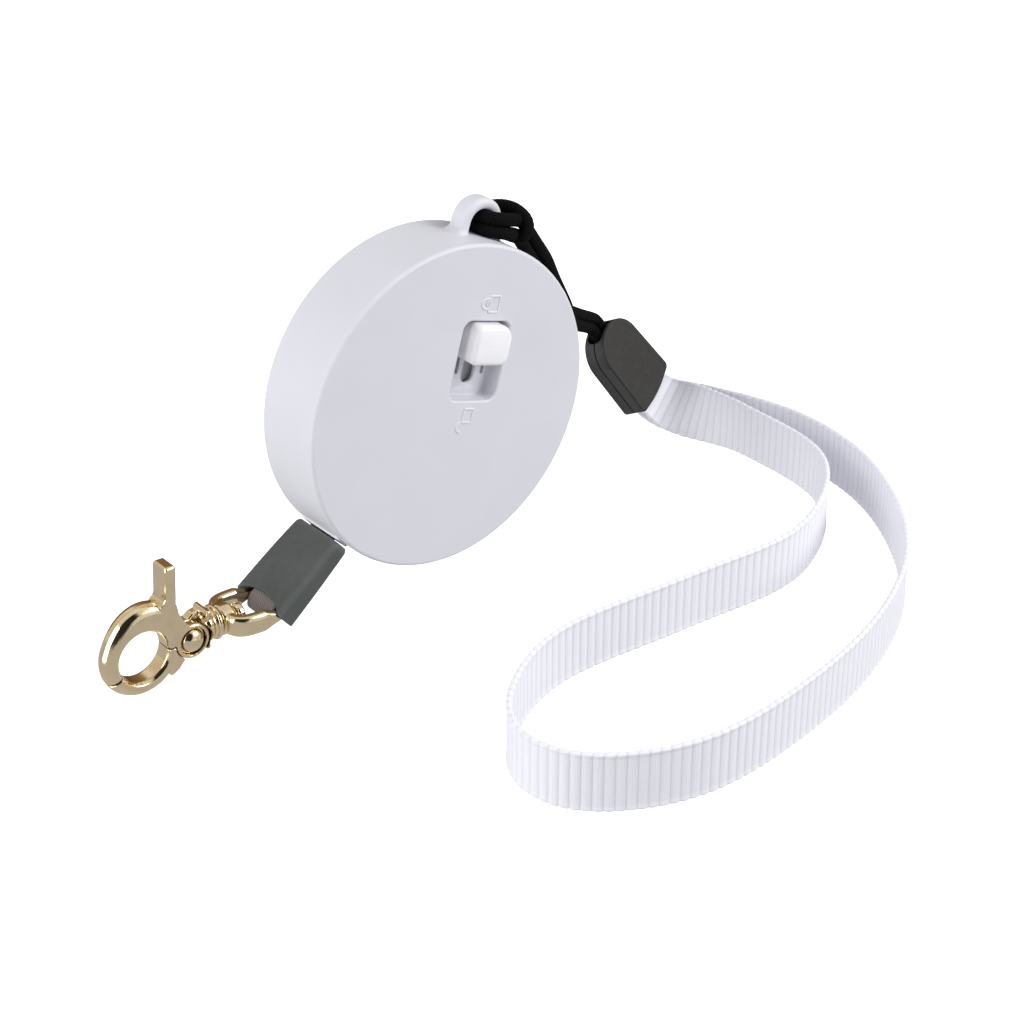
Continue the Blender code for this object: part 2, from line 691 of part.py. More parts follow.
def make_line_sleeve(line_frame):
    """Tapered rubber sleeve with a flat bore and a scooped mouth, wide enough for the eye."""
    sleeve = box("line_sleeve", line_frame, (SLEEVE_START, -0.5, -0.5), (SLEEVE_END, 0.5, 0.5))
    for vertex in sleeve.data.vertices:
        end = 1 if vertex.co.x > 0 else 0
        vertex.co.y *= SLEEVE_THICKNESS[end]
        vertex.co.z = SLEEVE_FRONT[end] if vertex.co.z > 0 else SLEEVE_REAR[end]
    bevel(sleeve, 0.8 * MM, 3)
    half_width = (SLEEVE_FRONT[1] - SLEEVE_REAR[1]) / 2
    radius = (half_width**2 + SLEEVE_SCOOP**2) / (2 * SLEEVE_SCOOP)
    bpy.ops.mesh.primitive_cylinder_add(vertices=72, radius=radius, depth=12 * MM)
    scoop = adopt(bpy.context.active_object, "sleeve_scoop", line_frame,
                  (SLEEVE_END - SLEEVE_SCOOP + radius, 0, (SLEEVE_FRONT[1] + SLEEVE_REAR[1]) / 2),
                  (pi / 2, 0, 0))
    bore = box("sleeve_bore", line_frame, (30 * MM, -1.2 * MM, -4.3 * MM), (60 * MM, 1.2 * MM, 4.3 * MM))
    depth, half_height, half_mouth = SLEEVE_MOUTH
    mouth = box("sleeve_mouth", line_frame, (CROSSBAR - depth, -half_height, -half_mouth),
                (60 * MM, half_height, half_mouth))
    cut(sleeve, scoop, bore, mouth)
    return finish(sleeve, "dark_rubber")


def make_line_loop(line_frame):
    """End of the line, folded round the crossbar of the eye."""
    radius = EYE_WIRE + 0.2 * MM + LOOP_THICKNESS / 2
    opening = radians(125)
    turn = arc((CROSSBAR, 0), radius, opening, -opening, 14)
    points = [(LOOP_START, LOOP_LAYER), (CROSSBAR - 4.3 * MM, LOOP_LAYER), (CROSSBAR - 2.5 * MM, 0.62 * MM)]
    lower = [(x, -y) for x, y in reversed(points)]
    path = [Vector((x, y, 0)) for x, y in (*points, *turn, *lower)]
    across = [Vector((0, 0, 1))] * len(path)
    loop = ribbon("line_loop", line_frame, path, across, LINE_WIDTH, LOOP_THICKNESS)
    return finish(loop, "woven_line")


# Hook


def make_swivel_eye(hook_frame):
    """D-shaped wire eye whose arms close on a bored collar."""
    side = [(0.0, 4.0), (0.35, 4.65), (1.0, 4.9), (7.2, 4.9), (8.9, 4.4), (10.2, 3.2), (10.7, 1.6)]
    half = [(x * MM, 0, z * MM) for x, z in side]
    points = half + [(x, y, -z) for x, y, z in reversed(half)]
    eye = tube("swivel_eye", hook_frame, points, EYE_WIRE, cyclic=True)
    collar = cross_rod("collar", hook_frame, COLLAR_RADIUS, COLLAR_BACK, COLLAR_FRONT)
    bevel(collar, 0.4 * MM)
    join(eye, collar)
    cut(eye, cross_rod("collar_bore", hook_frame, COLLAR_BORE, 7 * MM, 14 * MM))
    return finish(eye, "gold_metal")


def ring_reach(turn):
    """Outside radius of the ring, which swells towards the thumb tab."""
    return RING_OUTER + RING_SHOULDER * max(0.0, cos(turn - radians(250))) ** 2


def ring_sector(name, frame, start, end):
    """Part of the hook's ring between two angles, with softened edges."""
    turns = [start + (end - start) * i / 18 for i in range(19)]
    outline = [(RING_X + ring_reach(a) * cos(a), HOOK_DROP + ring_reach(a) * sin(a)) for a in turns]
    outline += arc((RING_X, HOOK_DROP), RING_INNER, end, start, 14)
    half = HOOK_THICKNESS / 2
    sector = plate(name, frame, [outline], -half, half)
    bevel(sector, 0.7 * MM)
    return sector


def make_hook_body(hook_frame, swivel_pivot):
    """Swivel post, body and lower jaw in one casting."""
    half = HOOK_THICKNESS / 2
    rear = (-half, -HALF_GAP)
    seam = 0.15 * MM / RING_OUTER
    body = ring_sector("hook_body", hook_frame, JAW_SPLIT + 2 * seam, pi - seam)
    block = box("body_block", hook_frame, (HOOK_FLANGE[1] - 0.3 * MM, -BODY_HALF_HEIGHT, -half),
                (BODY_END, BODY_HALF_HEIGHT, half))
    bevel(block, 0.6 * MM)
    flange = cross_rod("hook_flange", hook_frame, HOOK_FLANGE_RADIUS, *HOOK_FLANGE)
    post = cross_rod("post", hook_frame, POST_RADIUS, POST_HEAD[0] + 0.4 * MM, HOOK_FLANGE[1])
    head = cross_rod("post_head", hook_frame, POST_HEAD_RADIUS, *POST_HEAD)
    bevel(head, 0.5 * MM)
    boss = rod("body_boss", hook_frame, PIVOT_BOSS, *rear, PIVOT_X, HOOK_DROP)
    join(body, block, flange, post, head, boss)
    rivet = (PIVOT_X, HOOK_DROP)
    cut(body, rod("jaw_clearance", hook_frame, PIVOT_CLEARANCE, -HALF_GAP, 4 * MM, *rivet),
        rod("body_bore", hook_frame, RIVET_BORE, -4 * MM, 4 * MM, *rivet),
        rod("spring_pocket", hook_frame, SPRING_POCKET, POCKET_FLOOR, 1 * MM, *rivet))
    return rehang(finish(body, "gold_metal"), swivel_pivot)


def make_trigger_jaw(hook_frame, trigger_pivot):
    """Upper jaw, its boss on the rivet and its thumb tab."""
    half = HOOK_THICKNESS / 2
    seam = 0.15 * MM / RING_OUTER
    jaw = ring_sector("trigger_jaw", hook_frame, pi + seam, 2 * pi + JAW_SPLIT - 2 * seam)
    rivet = (PIVOT_X, HOOK_DROP)
    boss = rod("jaw_boss", hook_frame, PIVOT_BOSS, HALF_GAP, half, *rivet)
    tab = box("thumb_tab", hook_frame, (TAB_X - TAB_THICKNESS / 2, -TAB_TOP, -half),
              (TAB_X + TAB_THICKNESS / 2, HOOK_DROP - 6.2 * MM, half))
    bevel(tab, 0.5 * MM)
    join(jaw, boss, tab)
    cut(jaw, rod("body_clearance", hook_frame, PIVOT_CLEARANCE, -4 * MM, HALF_GAP, *rivet),
        rod("jaw_bore", hook_frame, RIVET_BORE, -4 * MM, 4 * MM, *rivet))
    return rehang(finish(jaw, "gold_metal"), trigger_pivot)


def make_trigger_rivet(hook_frame, swivel_pivot):
    """Pin with a domed head in front and a flat one behind."""
    front, back = HOOK_THICKNESS / 2 + 0.2 * MM, -HOOK_THICKNESS / 2 - 0.2 * MM
    steps = 4
    dome = [
        (1.8 * MM * sin(pi / 2 * i / steps), front + 0.8 * MM * cos(pi / 2 * i / steps))
        for i in range(steps + 1)
    ]
    profile = dome + [(RIVET_RADIUS, front), (RIVET_RADIUS, back), (1.8 * MM, back),
                      (1.8 * MM, back - 0.4 * MM), (0, back - 0.5 * MM)]
    rivet = turned("trigger_rivet", hook_frame, profile, 24)
    rivet.location = (PIVOT_X, HOOK_DROP, 0)
    return rehang(finish(rivet, "gold_metal"), swivel_pivot)


def make_trigger_spring(hook_frame, swivel_pivot):
    """Two-turn coil in the pocket of the body, round the rivet."""
    steps, wire, low, high = 24, 0.2 * MM, -1.2 * MM, -0.4 * MM
    points = []
    for i in range(steps + 1):
        place = polar(1.75 * MM, 4 * pi * i / steps)
        points.append((PIVOT_X + place.x, HOOK_DROP + place.y, low + (high - low) * i / steps))
    spring = tube("trigger_spring", hook_frame, points, wire, smoothness=0)
    return rehang(finish(spring, "steel"), swivel_pivot)


# Cord, clip and strap


def clip_matrix():
    """The clip's own frame: x towards the strap, z out of its top plate."""
    along = CLIP_DIRECTION.normalized()
    across = CLIP_FACING.cross(along).normalized()
    facing = along.cross(across)
    return Matrix.Translation(CLIP_CENTRE) @ Matrix((along, across, facing)).transposed().to_4x4()


def make_lanyard_cord(case, lanyard_pivot):
    """One cord, doubled: through the eyelet and side by side to the clip."""
    eyelet = polar(EYELET_CENTRE, EYELET_ANGLE)
    in_clip = clip_matrix()
    mouth = in_clip @ Vector((-CLIP_LENGTH / 2, 0, 0))
    inside = in_clip @ Vector((-CLIP_LENGTH / 2 + 1.0 * MM, 0, 0))
    before = in_clip @ Vector((-CLIP_LENGTH / 2 - 2.0 * MM, 0, 0))
    across = (in_clip.to_3x3() @ Vector((0, 1, 0))).normalized()
    run = [(13.5, 34.0, 8.2), (19.6, 30.2, 7.5), (24.0, 26.9, 6.5), (28.6, 22.8, 5.0),
           (35.6, 17.2, 2.6), (42.5, 13.4, -0.6), (49.5, 11.1, -4.6)]
    middle = [Vector(p) * MM for p in run] + [before, mouth, inside]
    path = smooth_path(middle, 3)
    sides = []
    for i, place in enumerate(path):
        lean = min(1.0, max(0.0, i / (len(path) - 7)))
        offset = Vector((0, 0, 1)).lerp(-across, lean).normalized() * STRAND_OFFSET
        sides.append((place + offset, place - offset))
    pass_through = eyelet + polar(1.1 * MM, radians(-8))
    wrap = []
    for x, spread in ((4.6, 3.0), (3.0, 4.0), (0.7, 3.9)):
        wrap.append((pass_through.x + x * MM, pass_through.y - 0.12 * x * MM, spread * MM))
    front = [Vector((x, y, MID_DEPTH + spread)) for x, y, spread in wrap]
    rear = [Vector((x, y, MID_DEPTH - spread)) for x, y, spread in wrap]
    centre = Vector((pass_through.x, pass_through.y, MID_DEPTH))
    loop = smooth_path([sides[0][0], *front, centre, *reversed(rear), sides[0][1]], 3)
    points = [side[0] for side in reversed(sides)] + loop[1:-1] + [side[1] for side in sides]
    cord = tube("lanyard_cord", case, points, CORD_RADIUS, smoothness=1)
    return rehang(finish(cord, "black_cord"), lanyard_pivot)


def clip_outline():
    """Square strap end with softened corners, and a round cord end."""
    length, half = CLIP_LENGTH / 2, CLIP_WIDTH / 2
    corner = 2.0 * MM
    nose = 6.4 * MM
    points = arc((length - corner, half - corner), corner, 0, pi / 2, 3)
    points += arc((-length + nose, half - nose), nose, pi / 2, pi, 6)
    points += [(x, -y) for x, y in reversed(points)]
    return points


def make_clip_half(case, clip_pivot, name, side):
    """One moulded half of the clip, with its share of the strap and cord pockets."""
    clip = pivot(name + "_frame", case)
    clip.matrix_local = clip_matrix()
    seam, outside = 0.1 * MM, CLIP_THICKNESS / 2
    back, front = sorted((side * seam, side * outside))
    half = plate(name, clip, [clip_outline()], back, front)
    bevel(half, 0.7 * MM if side > 0 else 0.4 * MM)
    length = CLIP_LENGTH / 2
    strap_pocket = box(name + "_strap_pocket", clip, (0.6 * MM, -6.25 * MM, -1.4 * MM),
                       (length + 1 * MM, 6.25 * MM, 1.4 * MM))
    cord_pocket = box(name + "_cord_pocket", clip, (-length - 1 * MM, -3.1 * MM, -1.85 * MM),
                      (-1.6 * MM, 3.1 * MM, 1.85 * MM))
    cut(half, strap_pocket, cord_pocket)
    return rehang(finish(half, "black_plastic"), clip_pivot)


def strap_stations():
    """Centre of the strap and how far it leans from upright to flat in the clip, round its loop."""
    in_clip = clip_matrix()
    end = CLIP_LENGTH / 2

    def clip_point(x, layer):
        return in_clip @ Vector((x, 0, layer))

    ground = Vector((0.958, 0.287, 0.0))
    loop = [(71.8, 47.7), (47.8, 64.6), (18.4, 64.3), (-12.8, 62.9), (-31.9, 71.8), (-39.1, 83.1),
            (-33.9, 96.0), (-13.1, 104.8), (20.3, 101.0), (45.5, 91.4), (63.3, 77.5), (77.3, 56.0),
            (81.9, 36.0)]
    lead = end + 2.5 * MM
    in_pocket = 1.5 * MM
    stations = [(clip_point(x, STRAP_LAYER), 1.0) for x in (in_pocket, end, lead)]
    for place, lean in (((78.3, -6.2, 3.5), 0.55), ((80.6, -5.6, 11.5), 0.2), ((80.1, -4.7, 21.6), 0.0)):
        stations.append((Vector(place) * MM, lean))
    for s, z in loop:
        stations.append((ground * s * MM + STRAP_UP * STRAP_HEIGHT + Vector((0, 0, z * MM)), 0.0))
    for place, lean in (((84.6, -3.4, 21.6), 0.0), ((83.2, -5.3, 11.2), 0.2), ((80.2, -6.7, 2.6), 0.55)):
        stations.append((Vector(place) * MM, lean))
    return stations + [(clip_point(x, -STRAP_LAYER), 1.0) for x in (lead, end, in_pocket)]


def make_wrist_strap(case, clip_pivot):
    stations = strap_stations()
    path = smooth_path([place for place, _ in stations], STRAP_STEPS)
    leans = smooth_path([Vector((lean, 0, 0)) for _, lean in stations], STRAP_STEPS)
    flat = (clip_matrix().to_3x3() @ Vector((0, 1, 0))).normalized()
    rulings = []
    for i, place in enumerate(path):
        tangent = (path[min(i + 1, len(path) - 1)] - path[max(i - 1, 0)]).normalized()
        ruling = STRAP_UP.lerp(flat, min(1.0, max(0.0, leans[i].x)))
        rulings.append(ruling - tangent * ruling.dot(tangent))
    strap = ribbon("wrist_strap", case, path, rulings, STRAP_WIDTH, STRAP_THICKNESS)
    return rehang(finish(strap, "white_webbing"), clip_pivot)


def build():
    case = pivot("case_frame", turn=(pi / 2, 0, 0))
    middle = (0, 0, MID_DEPTH)
    exit_frame = pivot("exit_frame", case, middle, (0, 0, EXIT_ANGLE))
    eyelet = (*polar(EYELET_CENTRE, EYELET_ANGLE), MID_DEPTH)
    eyelet_frame = pivot("eyelet_frame", case, eyelet, (0, 0, EYELET_ANGLE))

    make_front_housing(case, exit_frame, eyelet_frame)
    make_rear_cover(case)
    for number, place in enumerate(boss_places(), 1):
        make_cover_screw(case, number, place)
    make_spool_axle(case)
    make_spring_arbor(case)
    make_exit_guide(exit_frame)
    make_thrust_washer(case)
    make_line_run(exit_frame)

    spool_pivot = pivot("spool_pivot", case, middle)
    make_spool(case, spool_pivot)
    make_line_coil(case, spool_pivot)
    make_power_spring(case, spool_pivot)
    make_spring_cover(case, spool_pivot)

    lock_pivot = pivot("lock_pivot", case, (STEM_X, SLIDER_CENTRE_Y, CASE_DEPTH))
    make_lock_slider(case, lock_pivot)
    make_lock_pawl(case, lock_pivot)

    make_line_sleeve(exit_frame)
    make_line_loop(exit_frame)

    hook_frame = pivot("hook_pivot", exit_frame, (CROSSBAR, 0, 0), (0, 0, HOOK_ANGLE))
    swivel_pivot = pivot("swivel_pivot", hook_frame)
    trigger_pivot = pivot("trigger_pivot", swivel_pivot, (PIVOT_X, HOOK_DROP, 0))
    make_swivel_eye(hook_frame)
    make_hook_body(hook_frame, swivel_pivot)
    make_trigger_jaw(hook_frame, trigger_pivot)
    make_trigger_rivet(hook_frame, swivel_pivot)
    make_trigger_spring(hook_frame, swivel_pivot)

    lanyard_pivot = pivot("lanyard_pivot", case, eyelet)
    clip_mouth = clip_matrix() @ Vector((-CLIP_LENGTH / 2, 0, 0))
    clip_pivot = pivot("clip_pivot", case, clip_mouth)
    make_lanyard_cord(case, lanyard_pivot)
    make_clip_half(case, clip_pivot, "strap_clip_cover", 1)
    make_clip_half(case, clip_pivot, "strap_clip_base", -1)
    make_wrist_strap(case, clip_pivot)


build()
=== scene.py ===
"""Looks of the pocket retractable clothesline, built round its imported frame.

Pieces are modelled in millimetres in the case's front-view frame (x right, y up, z towards the viewer, origin
at the middle of the rear face), or in a frame of their own that is placed from the joints of the record.
"""

import json
from math import atan2, cos, hypot, pi, radians, sin, sqrt

import bmesh
import bpy
import numpy as np
from mathutils import Matrix, Vector


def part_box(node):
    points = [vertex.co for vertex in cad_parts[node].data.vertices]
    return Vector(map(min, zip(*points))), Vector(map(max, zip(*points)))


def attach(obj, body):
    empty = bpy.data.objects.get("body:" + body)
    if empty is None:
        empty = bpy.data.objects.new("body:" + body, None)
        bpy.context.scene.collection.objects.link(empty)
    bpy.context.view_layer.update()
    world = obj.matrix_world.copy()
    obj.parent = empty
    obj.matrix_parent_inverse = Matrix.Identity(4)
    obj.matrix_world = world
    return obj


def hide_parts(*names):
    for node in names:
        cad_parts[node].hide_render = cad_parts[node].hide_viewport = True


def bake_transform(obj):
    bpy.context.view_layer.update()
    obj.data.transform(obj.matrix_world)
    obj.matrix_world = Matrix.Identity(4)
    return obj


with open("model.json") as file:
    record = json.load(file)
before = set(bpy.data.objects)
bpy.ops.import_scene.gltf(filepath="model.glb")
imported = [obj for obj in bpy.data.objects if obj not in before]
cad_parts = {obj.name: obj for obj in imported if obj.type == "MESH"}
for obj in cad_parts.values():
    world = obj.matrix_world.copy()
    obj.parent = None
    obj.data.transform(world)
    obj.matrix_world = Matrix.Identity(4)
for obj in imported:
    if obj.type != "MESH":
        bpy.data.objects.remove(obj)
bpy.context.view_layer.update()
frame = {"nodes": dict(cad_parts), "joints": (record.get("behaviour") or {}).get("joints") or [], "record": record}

MM = 0.001
JOINTS = {joint["name"]: joint for joint in frame["joints"]}

# Case
CASE_RADIUS = 33.0
CASE_DEPTH = 16.0
MIDDLE = CASE_DEPTH / 2
CASE_STEPS = 288
RIM_ROUND = 0.75
COVER_RADIUS = 31.6
SEAT_RADIUS = 31.9
COVER_THICKNESS = 1.7

# Thumb lock
RECESS_CENTRE = (4.4, 9.6)
RECESS_SIZE = (11.8, 16.2)
RECESS_DEPTH = 3.4
SLIDER_CENTRE = (5.05, 13.35)
SLIDER_SIZE = (9.2, 8.1)
SLIDER_PROUD = 2.6
SLOT_X = 5.05
SLIT_X = (2.0, 8.5)

# Eyelet
EYELET_ANGLE = radians(85.6)
EYELET_RADIUS = 35.35
EYELET_HOLE = 2.7
EYELET_WALL = 2.2
EYELET_DEPTH = 4.4

# Line end
SLEEVE_START = 33.8
SLEEVE_END = 52.0
SLEEVE_FRONT = (7.0, 6.8)
SLEEVE_REAR = (-6.2, -7.7)
SLEEVE_SCOOP = 2.4
LINE_WIDTH = 7.8

# Hook
HOOK_THICKNESS = 4.5
HOOK_DROP = 1.3
PIVOT_X = 18.6
RING_X = 29.2
RING_OUTER = 8.2
RING_SHOULDER = 2.4
RING_INNER = 5.2
JAW_SPLIT = radians(30.0)

# Cord, clip and strap
CORD_RADIUS = 1.3
CLIP_CENTRE = Vector((66.3, 1.5, -4.9))
CLIP_DIRECTION = Vector((0.73, -0.624, 0.281))
CLIP_FACING = Vector((0.078, 0.484, 0.871))
CLIP_LENGTH = 20.2
CLIP_WIDTH = 14.6
CLIP_THICKNESS = 5.6
STRAP_WIDTH = 12.0
STRAP_LAYER = 0.7
STRAP_RIB = 1.9
STRAP_UP = Vector((-0.287, 0.958, 0.0))
STRAP_HEIGHT = -27.5


# Frames


def place_angle(vector):
    """Angle of a world direction in the front view."""
    return atan2(vector[2], vector[0])


EXIT_ANGLE = place_angle(JOINTS["line_pull"]["axis"])
HOOK_ANGLE = place_angle(JOINTS["hook_swivel"]["axis"]) - EXIT_ANGLE
CROSSBAR = hypot(JOINTS["hook_tilt"]["pos_m"][0], JOINTS["hook_tilt"]["pos_m"][2]) / MM

FRONT_VIEW = Matrix(((1, 0, 0, 0), (0, 0, -1, 0), (0, 1, 0, 0), (0, 0, 0, 1)))
EXIT = FRONT_VIEW @ Matrix.Translation((0, 0, MIDDLE * MM)) @ Matrix.Rotation(EXIT_ANGLE, 4, "Z")
HOOK = EXIT @ Matrix.Translation((CROSSBAR * MM, 0, 0)) @ Matrix.Rotation(HOOK_ANGLE, 4, "Z")


def clip_matrix():
    """The clip's frame in millimetres: x towards the strap, z out of its top plate."""
    along = CLIP_DIRECTION.normalized()
    across = CLIP_FACING.cross(along).normalized()
    facing = along.cross(across)
    return Matrix.Translation(CLIP_CENTRE) @ Matrix((along, across, facing)).transposed().to_4x4()


CLIP = clip_matrix()


# Meshes


def polar(radius, angle):
    return (radius * cos(angle), radius * sin(angle))


def arc(centre, radius, start, end, steps):
    turns = [start + (end - start) * i / steps for i in range(steps + 1)]
    return [(centre[0] + radius * cos(a), centre[1] + radius * sin(a)) for a in turns]


def grid_mesh(name, rows, along=False, caps=False, lengths=None):
    """Mesh over rows of points that each close on themselves; along joins the last row to the first.

    Its UV map holds the distance along the rows and round them, in millimetres."""
    rows = np.asarray(rows, float)
    count, around, _ = rows.shape
    r = np.arange(count if along else count - 1)[:, None]
    c = np.arange(around)[None, :]
    after, right = (r + 1) % count, (c + 1) % around
    quads = np.stack([r * around + c, r * around + right, after * around + right, after * around + c], -1)
    faces = quads.reshape(-1, 4).tolist()
    if caps:
        faces += [list(range(around))[::-1], list(range((count - 1) * around, count * around))]
    mesh = bpy.data.meshes.new(name)
    mesh.from_pydata((rows.reshape(-1, 3) * MM).tolist(), [], faces)
    steps = np.linalg.norm(np.diff(rows, axis=0), axis=2).mean(1)
    if lengths is None:
        lengths = np.concatenate([[0], np.cumsum(steps)])
    girth = np.linalg.norm(np.roll(rows, -1, axis=1) - rows, axis=2).mean(0)
    round_it = np.concatenate([[0], np.cumsum(girth)])
    lengths = np.append(lengths, lengths[-1] + 1)
    u = np.stack([lengths[r] + 0 * c, lengths[r] + 0 * c, lengths[r + 1] + 0 * c, lengths[r + 1] + 0 * c], -1)
    v = np.stack([round_it[c] + 0 * r, round_it[c + 1] + 0 * r, round_it[c + 1] + 0 * r, round_it[c] + 0 * r], -1)
    uv = np.zeros((len(mesh.loops), 2), np.float32)
    flat = np.stack([u, v], -1).reshape(-1, 2)
    uv[: len(flat)] = flat
    mesh.uv_layers.new(name="cloth").data.foreach_set("uv", uv.ravel())
    outward(mesh)
    return mesh


def outward(mesh):
    shape = bmesh.new()
    shape.from_mesh(mesh)
    bmesh.ops.recalc_face_normals(shape, faces=shape.faces)
    shape.to_mesh(mesh)
    shape.free()


def lathe(name, profile, steps, closed=False):
    """Turn a (radius, height) profile about z; an open profile is capped flat at both ends."""
    turns = [2 * pi * i / steps for i in range(steps)]
    rows = [[(r * cos(a), r * sin(a), z) for a in turns] for r, z in profile]
    return grid_mesh(name, rows, along=closed, caps=not closed)


def loft(name, outlines, heights):
    """Stack of outlines with the same number of points, capped at both ends."""
    return grid_mesh(name, [[(x, y, z) for x, y in line] for line, z in zip(outlines, heights)], caps=True)


def rounded_rectangle(centre, width, height, corner, steps=8, side=0):
    """Outline with round corners, and with extra points along its sides if asked."""
    corner = min(corner, width / 2 - 0.01, height / 2 - 0.01)
    outline = []
    for quarter, (right, up) in enumerate(((1, 1), (-1, 1), (-1, -1), (1, -1))):
        middle = (centre[0] + right * (width / 2 - corner), centre[1] + up * (height / 2 - corner))
        outline += arc(middle, corner, quarter * pi / 2, (quarter + 1) * pi / 2, steps)
    if side:
        filled = []
        for i, point in enumerate(outline):
            filled.append(point)
            if i % (steps + 1) == steps:
                after = outline[(i + 1) % len(outline)]
                for k in range(1, side):
                    filled.append(tuple(np.array(point) + (np.array(after) - point) * k / side))
        outline = filled
    return outline


def smooth_path(points, steps):
    """A curve through every point (Catmull-Rom)."""
    points = np.asarray(points, float)
    ends = np.vstack([2 * points[0] - points[1], points, 2 * points[-1] - points[-2]])
    path = []
    for a, b, c, d in zip(ends, ends[1:], ends[2:], ends[3:]):
        for i in range(steps):
            t = i / steps
            path.append(0.5 * (2 * b + (c - a) * t + (2 * a - 5 * b + 4 * c - d) * t**2
                               + (3 * b - 3 * c + d - a) * t**3))
    path.append(points[-1])
    return np.array(path)


def resample(path, *others, step):
    """Even steps of arc length along a path, with values that go with its points."""
    lengths = np.concatenate([[0], np.cumsum(np.linalg.norm(np.diff(path, axis=0), axis=1))])
    wanted = np.linspace(0, lengths[-1], max(2, int(round(lengths[-1] / step)) + 1))
    out = []
    for values in (path, *others):
        values = np.asarray(values, float).reshape(len(path), -1)
        out.append(np.stack([np.interp(wanted, lengths, column) for column in values.T], -1))
    return (wanted, *out)


def relax(values, rounds, hold=2):
    """Soften a row of values, keeping its ends."""
    values = values.copy()
    for _ in range(rounds):
        values[hold:-hold] += 0.5 * ((values[hold - 1:-hold - 1] + values[hold + 1:len(values) - hold + 1]) / 2
                                     - values[hold:-hold])
    return values


def unit(vectors):
    return vectors / np.maximum(np.linalg.norm(vectors, axis=-1, keepdims=True), 1e-9)


def path_frames(path, rulings):
    """Tangent, ruling and normal at each point."""
    tangents = unit(np.gradient(path, axis=0))
    rulings = np.asarray(rulings, float)
    rulings = unit(rulings - tangents * (rulings * tangents).sum(1, keepdims=True))
    return tangents, rulings, np.cross(tangents, rulings)


def sweep(name, path, rulings, section, along=False, caps=True, lengths=None):
    """Carry sections (points x (ruling, normal)) along a path; section is one array or one for each point."""
    _, across, normal = path_frames(path, rulings)
    section = np.asarray(section, float)
    if section.ndim == 2:
        section = np.repeat(section[None], len(path), 0)
    rows = path[:, None] + section[..., :1] * across[:, None] + section[..., 1:] * normal[:, None]
    return grid_mesh(name, rows, along=along, caps=caps and not along, lengths=lengths)


def add(name, mesh, place=FRONT_VIEW):
    """A new object in the row frame."""
    obj = bpy.data.objects.new(name, mesh)
    bpy.context.scene.collection.objects.link(obj)
    obj.matrix_world = place
    return obj


def bake(obj):
    """Apply the object's modifiers."""
    bpy.context.view_layer.update()
    graph = bpy.context.evaluated_depsgraph_get()
    mesh = bpy.data.meshes.new_from_object(obj.evaluated_get(graph))
    obj.modifiers.clear()
    obj.data = mesh
    return obj


def combine(target, tools, operation, solver="EXACT"):
    """Boolean with each tool in turn; the tools are used up."""
    for tool in tools:
        modifier = target.modifiers.new("cut", "BOOLEAN")
        modifier.operation = operation
        modifier.object = tool
        modifier.solver = solver
    bake(target)
    for tool in tools:
        bpy.data.objects.remove(tool)
    return target


def cut(target, *tools, **options):
    return combine(target, tools, "DIFFERENCE", **options)


def weld(target, *tools, **options):
    return combine(target, tools, "UNION", **options)


def merge(target, *others):
    """Join other objects' meshes into one object, each where it is."""
    shape = bmesh.new()
    shape.from_mesh(target.data)
    for other in others:
        extra = other.data.copy()
        extra.transform(target.matrix_world.inverted() @ other.matrix_world)
        shape.from_mesh(extra)
        bpy.data.objects.remove(other)
    mesh = bpy.data.meshes.new(target.name)
    shape.to_mesh(mesh)
    shape.free()
    target.data = mesh
    return target


def remesh(obj, voxel, rounds):
    """Cast the shapes of an object into one skin with softened edges."""
    modifier = obj.modifiers.new("cast", "REMESH")
    modifier.mode = "VOXEL"
    modifier.voxel_size = voxel * MM
    if rounds:
        modifier = obj.modifiers.new("soften", "SMOOTH")
        modifier.factor = 0.5
        modifier.iterations = rounds
    return bake(obj)


def dress(obj, material, body, nodes=(), angle=35.0, weighted=False):
    """Finish a piece: its material, the body it rides on and the nodes it stands for."""
    obj.data.materials.clear()
    obj.data.materials.append(material)
    obj.data.shade_smooth()
    if angle:
        obj.data.set_sharp_from_angle(angle=radians(angle))
    if weighted:
        modifier = obj.modifiers.new("normals", "WEIGHTED_NORMAL")
        modifier.keep_sharp = True
        modifier.weight = 100
    if body:
        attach(obj, body)
    if nodes:
        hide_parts(*nodes)
    return obj


# Materials


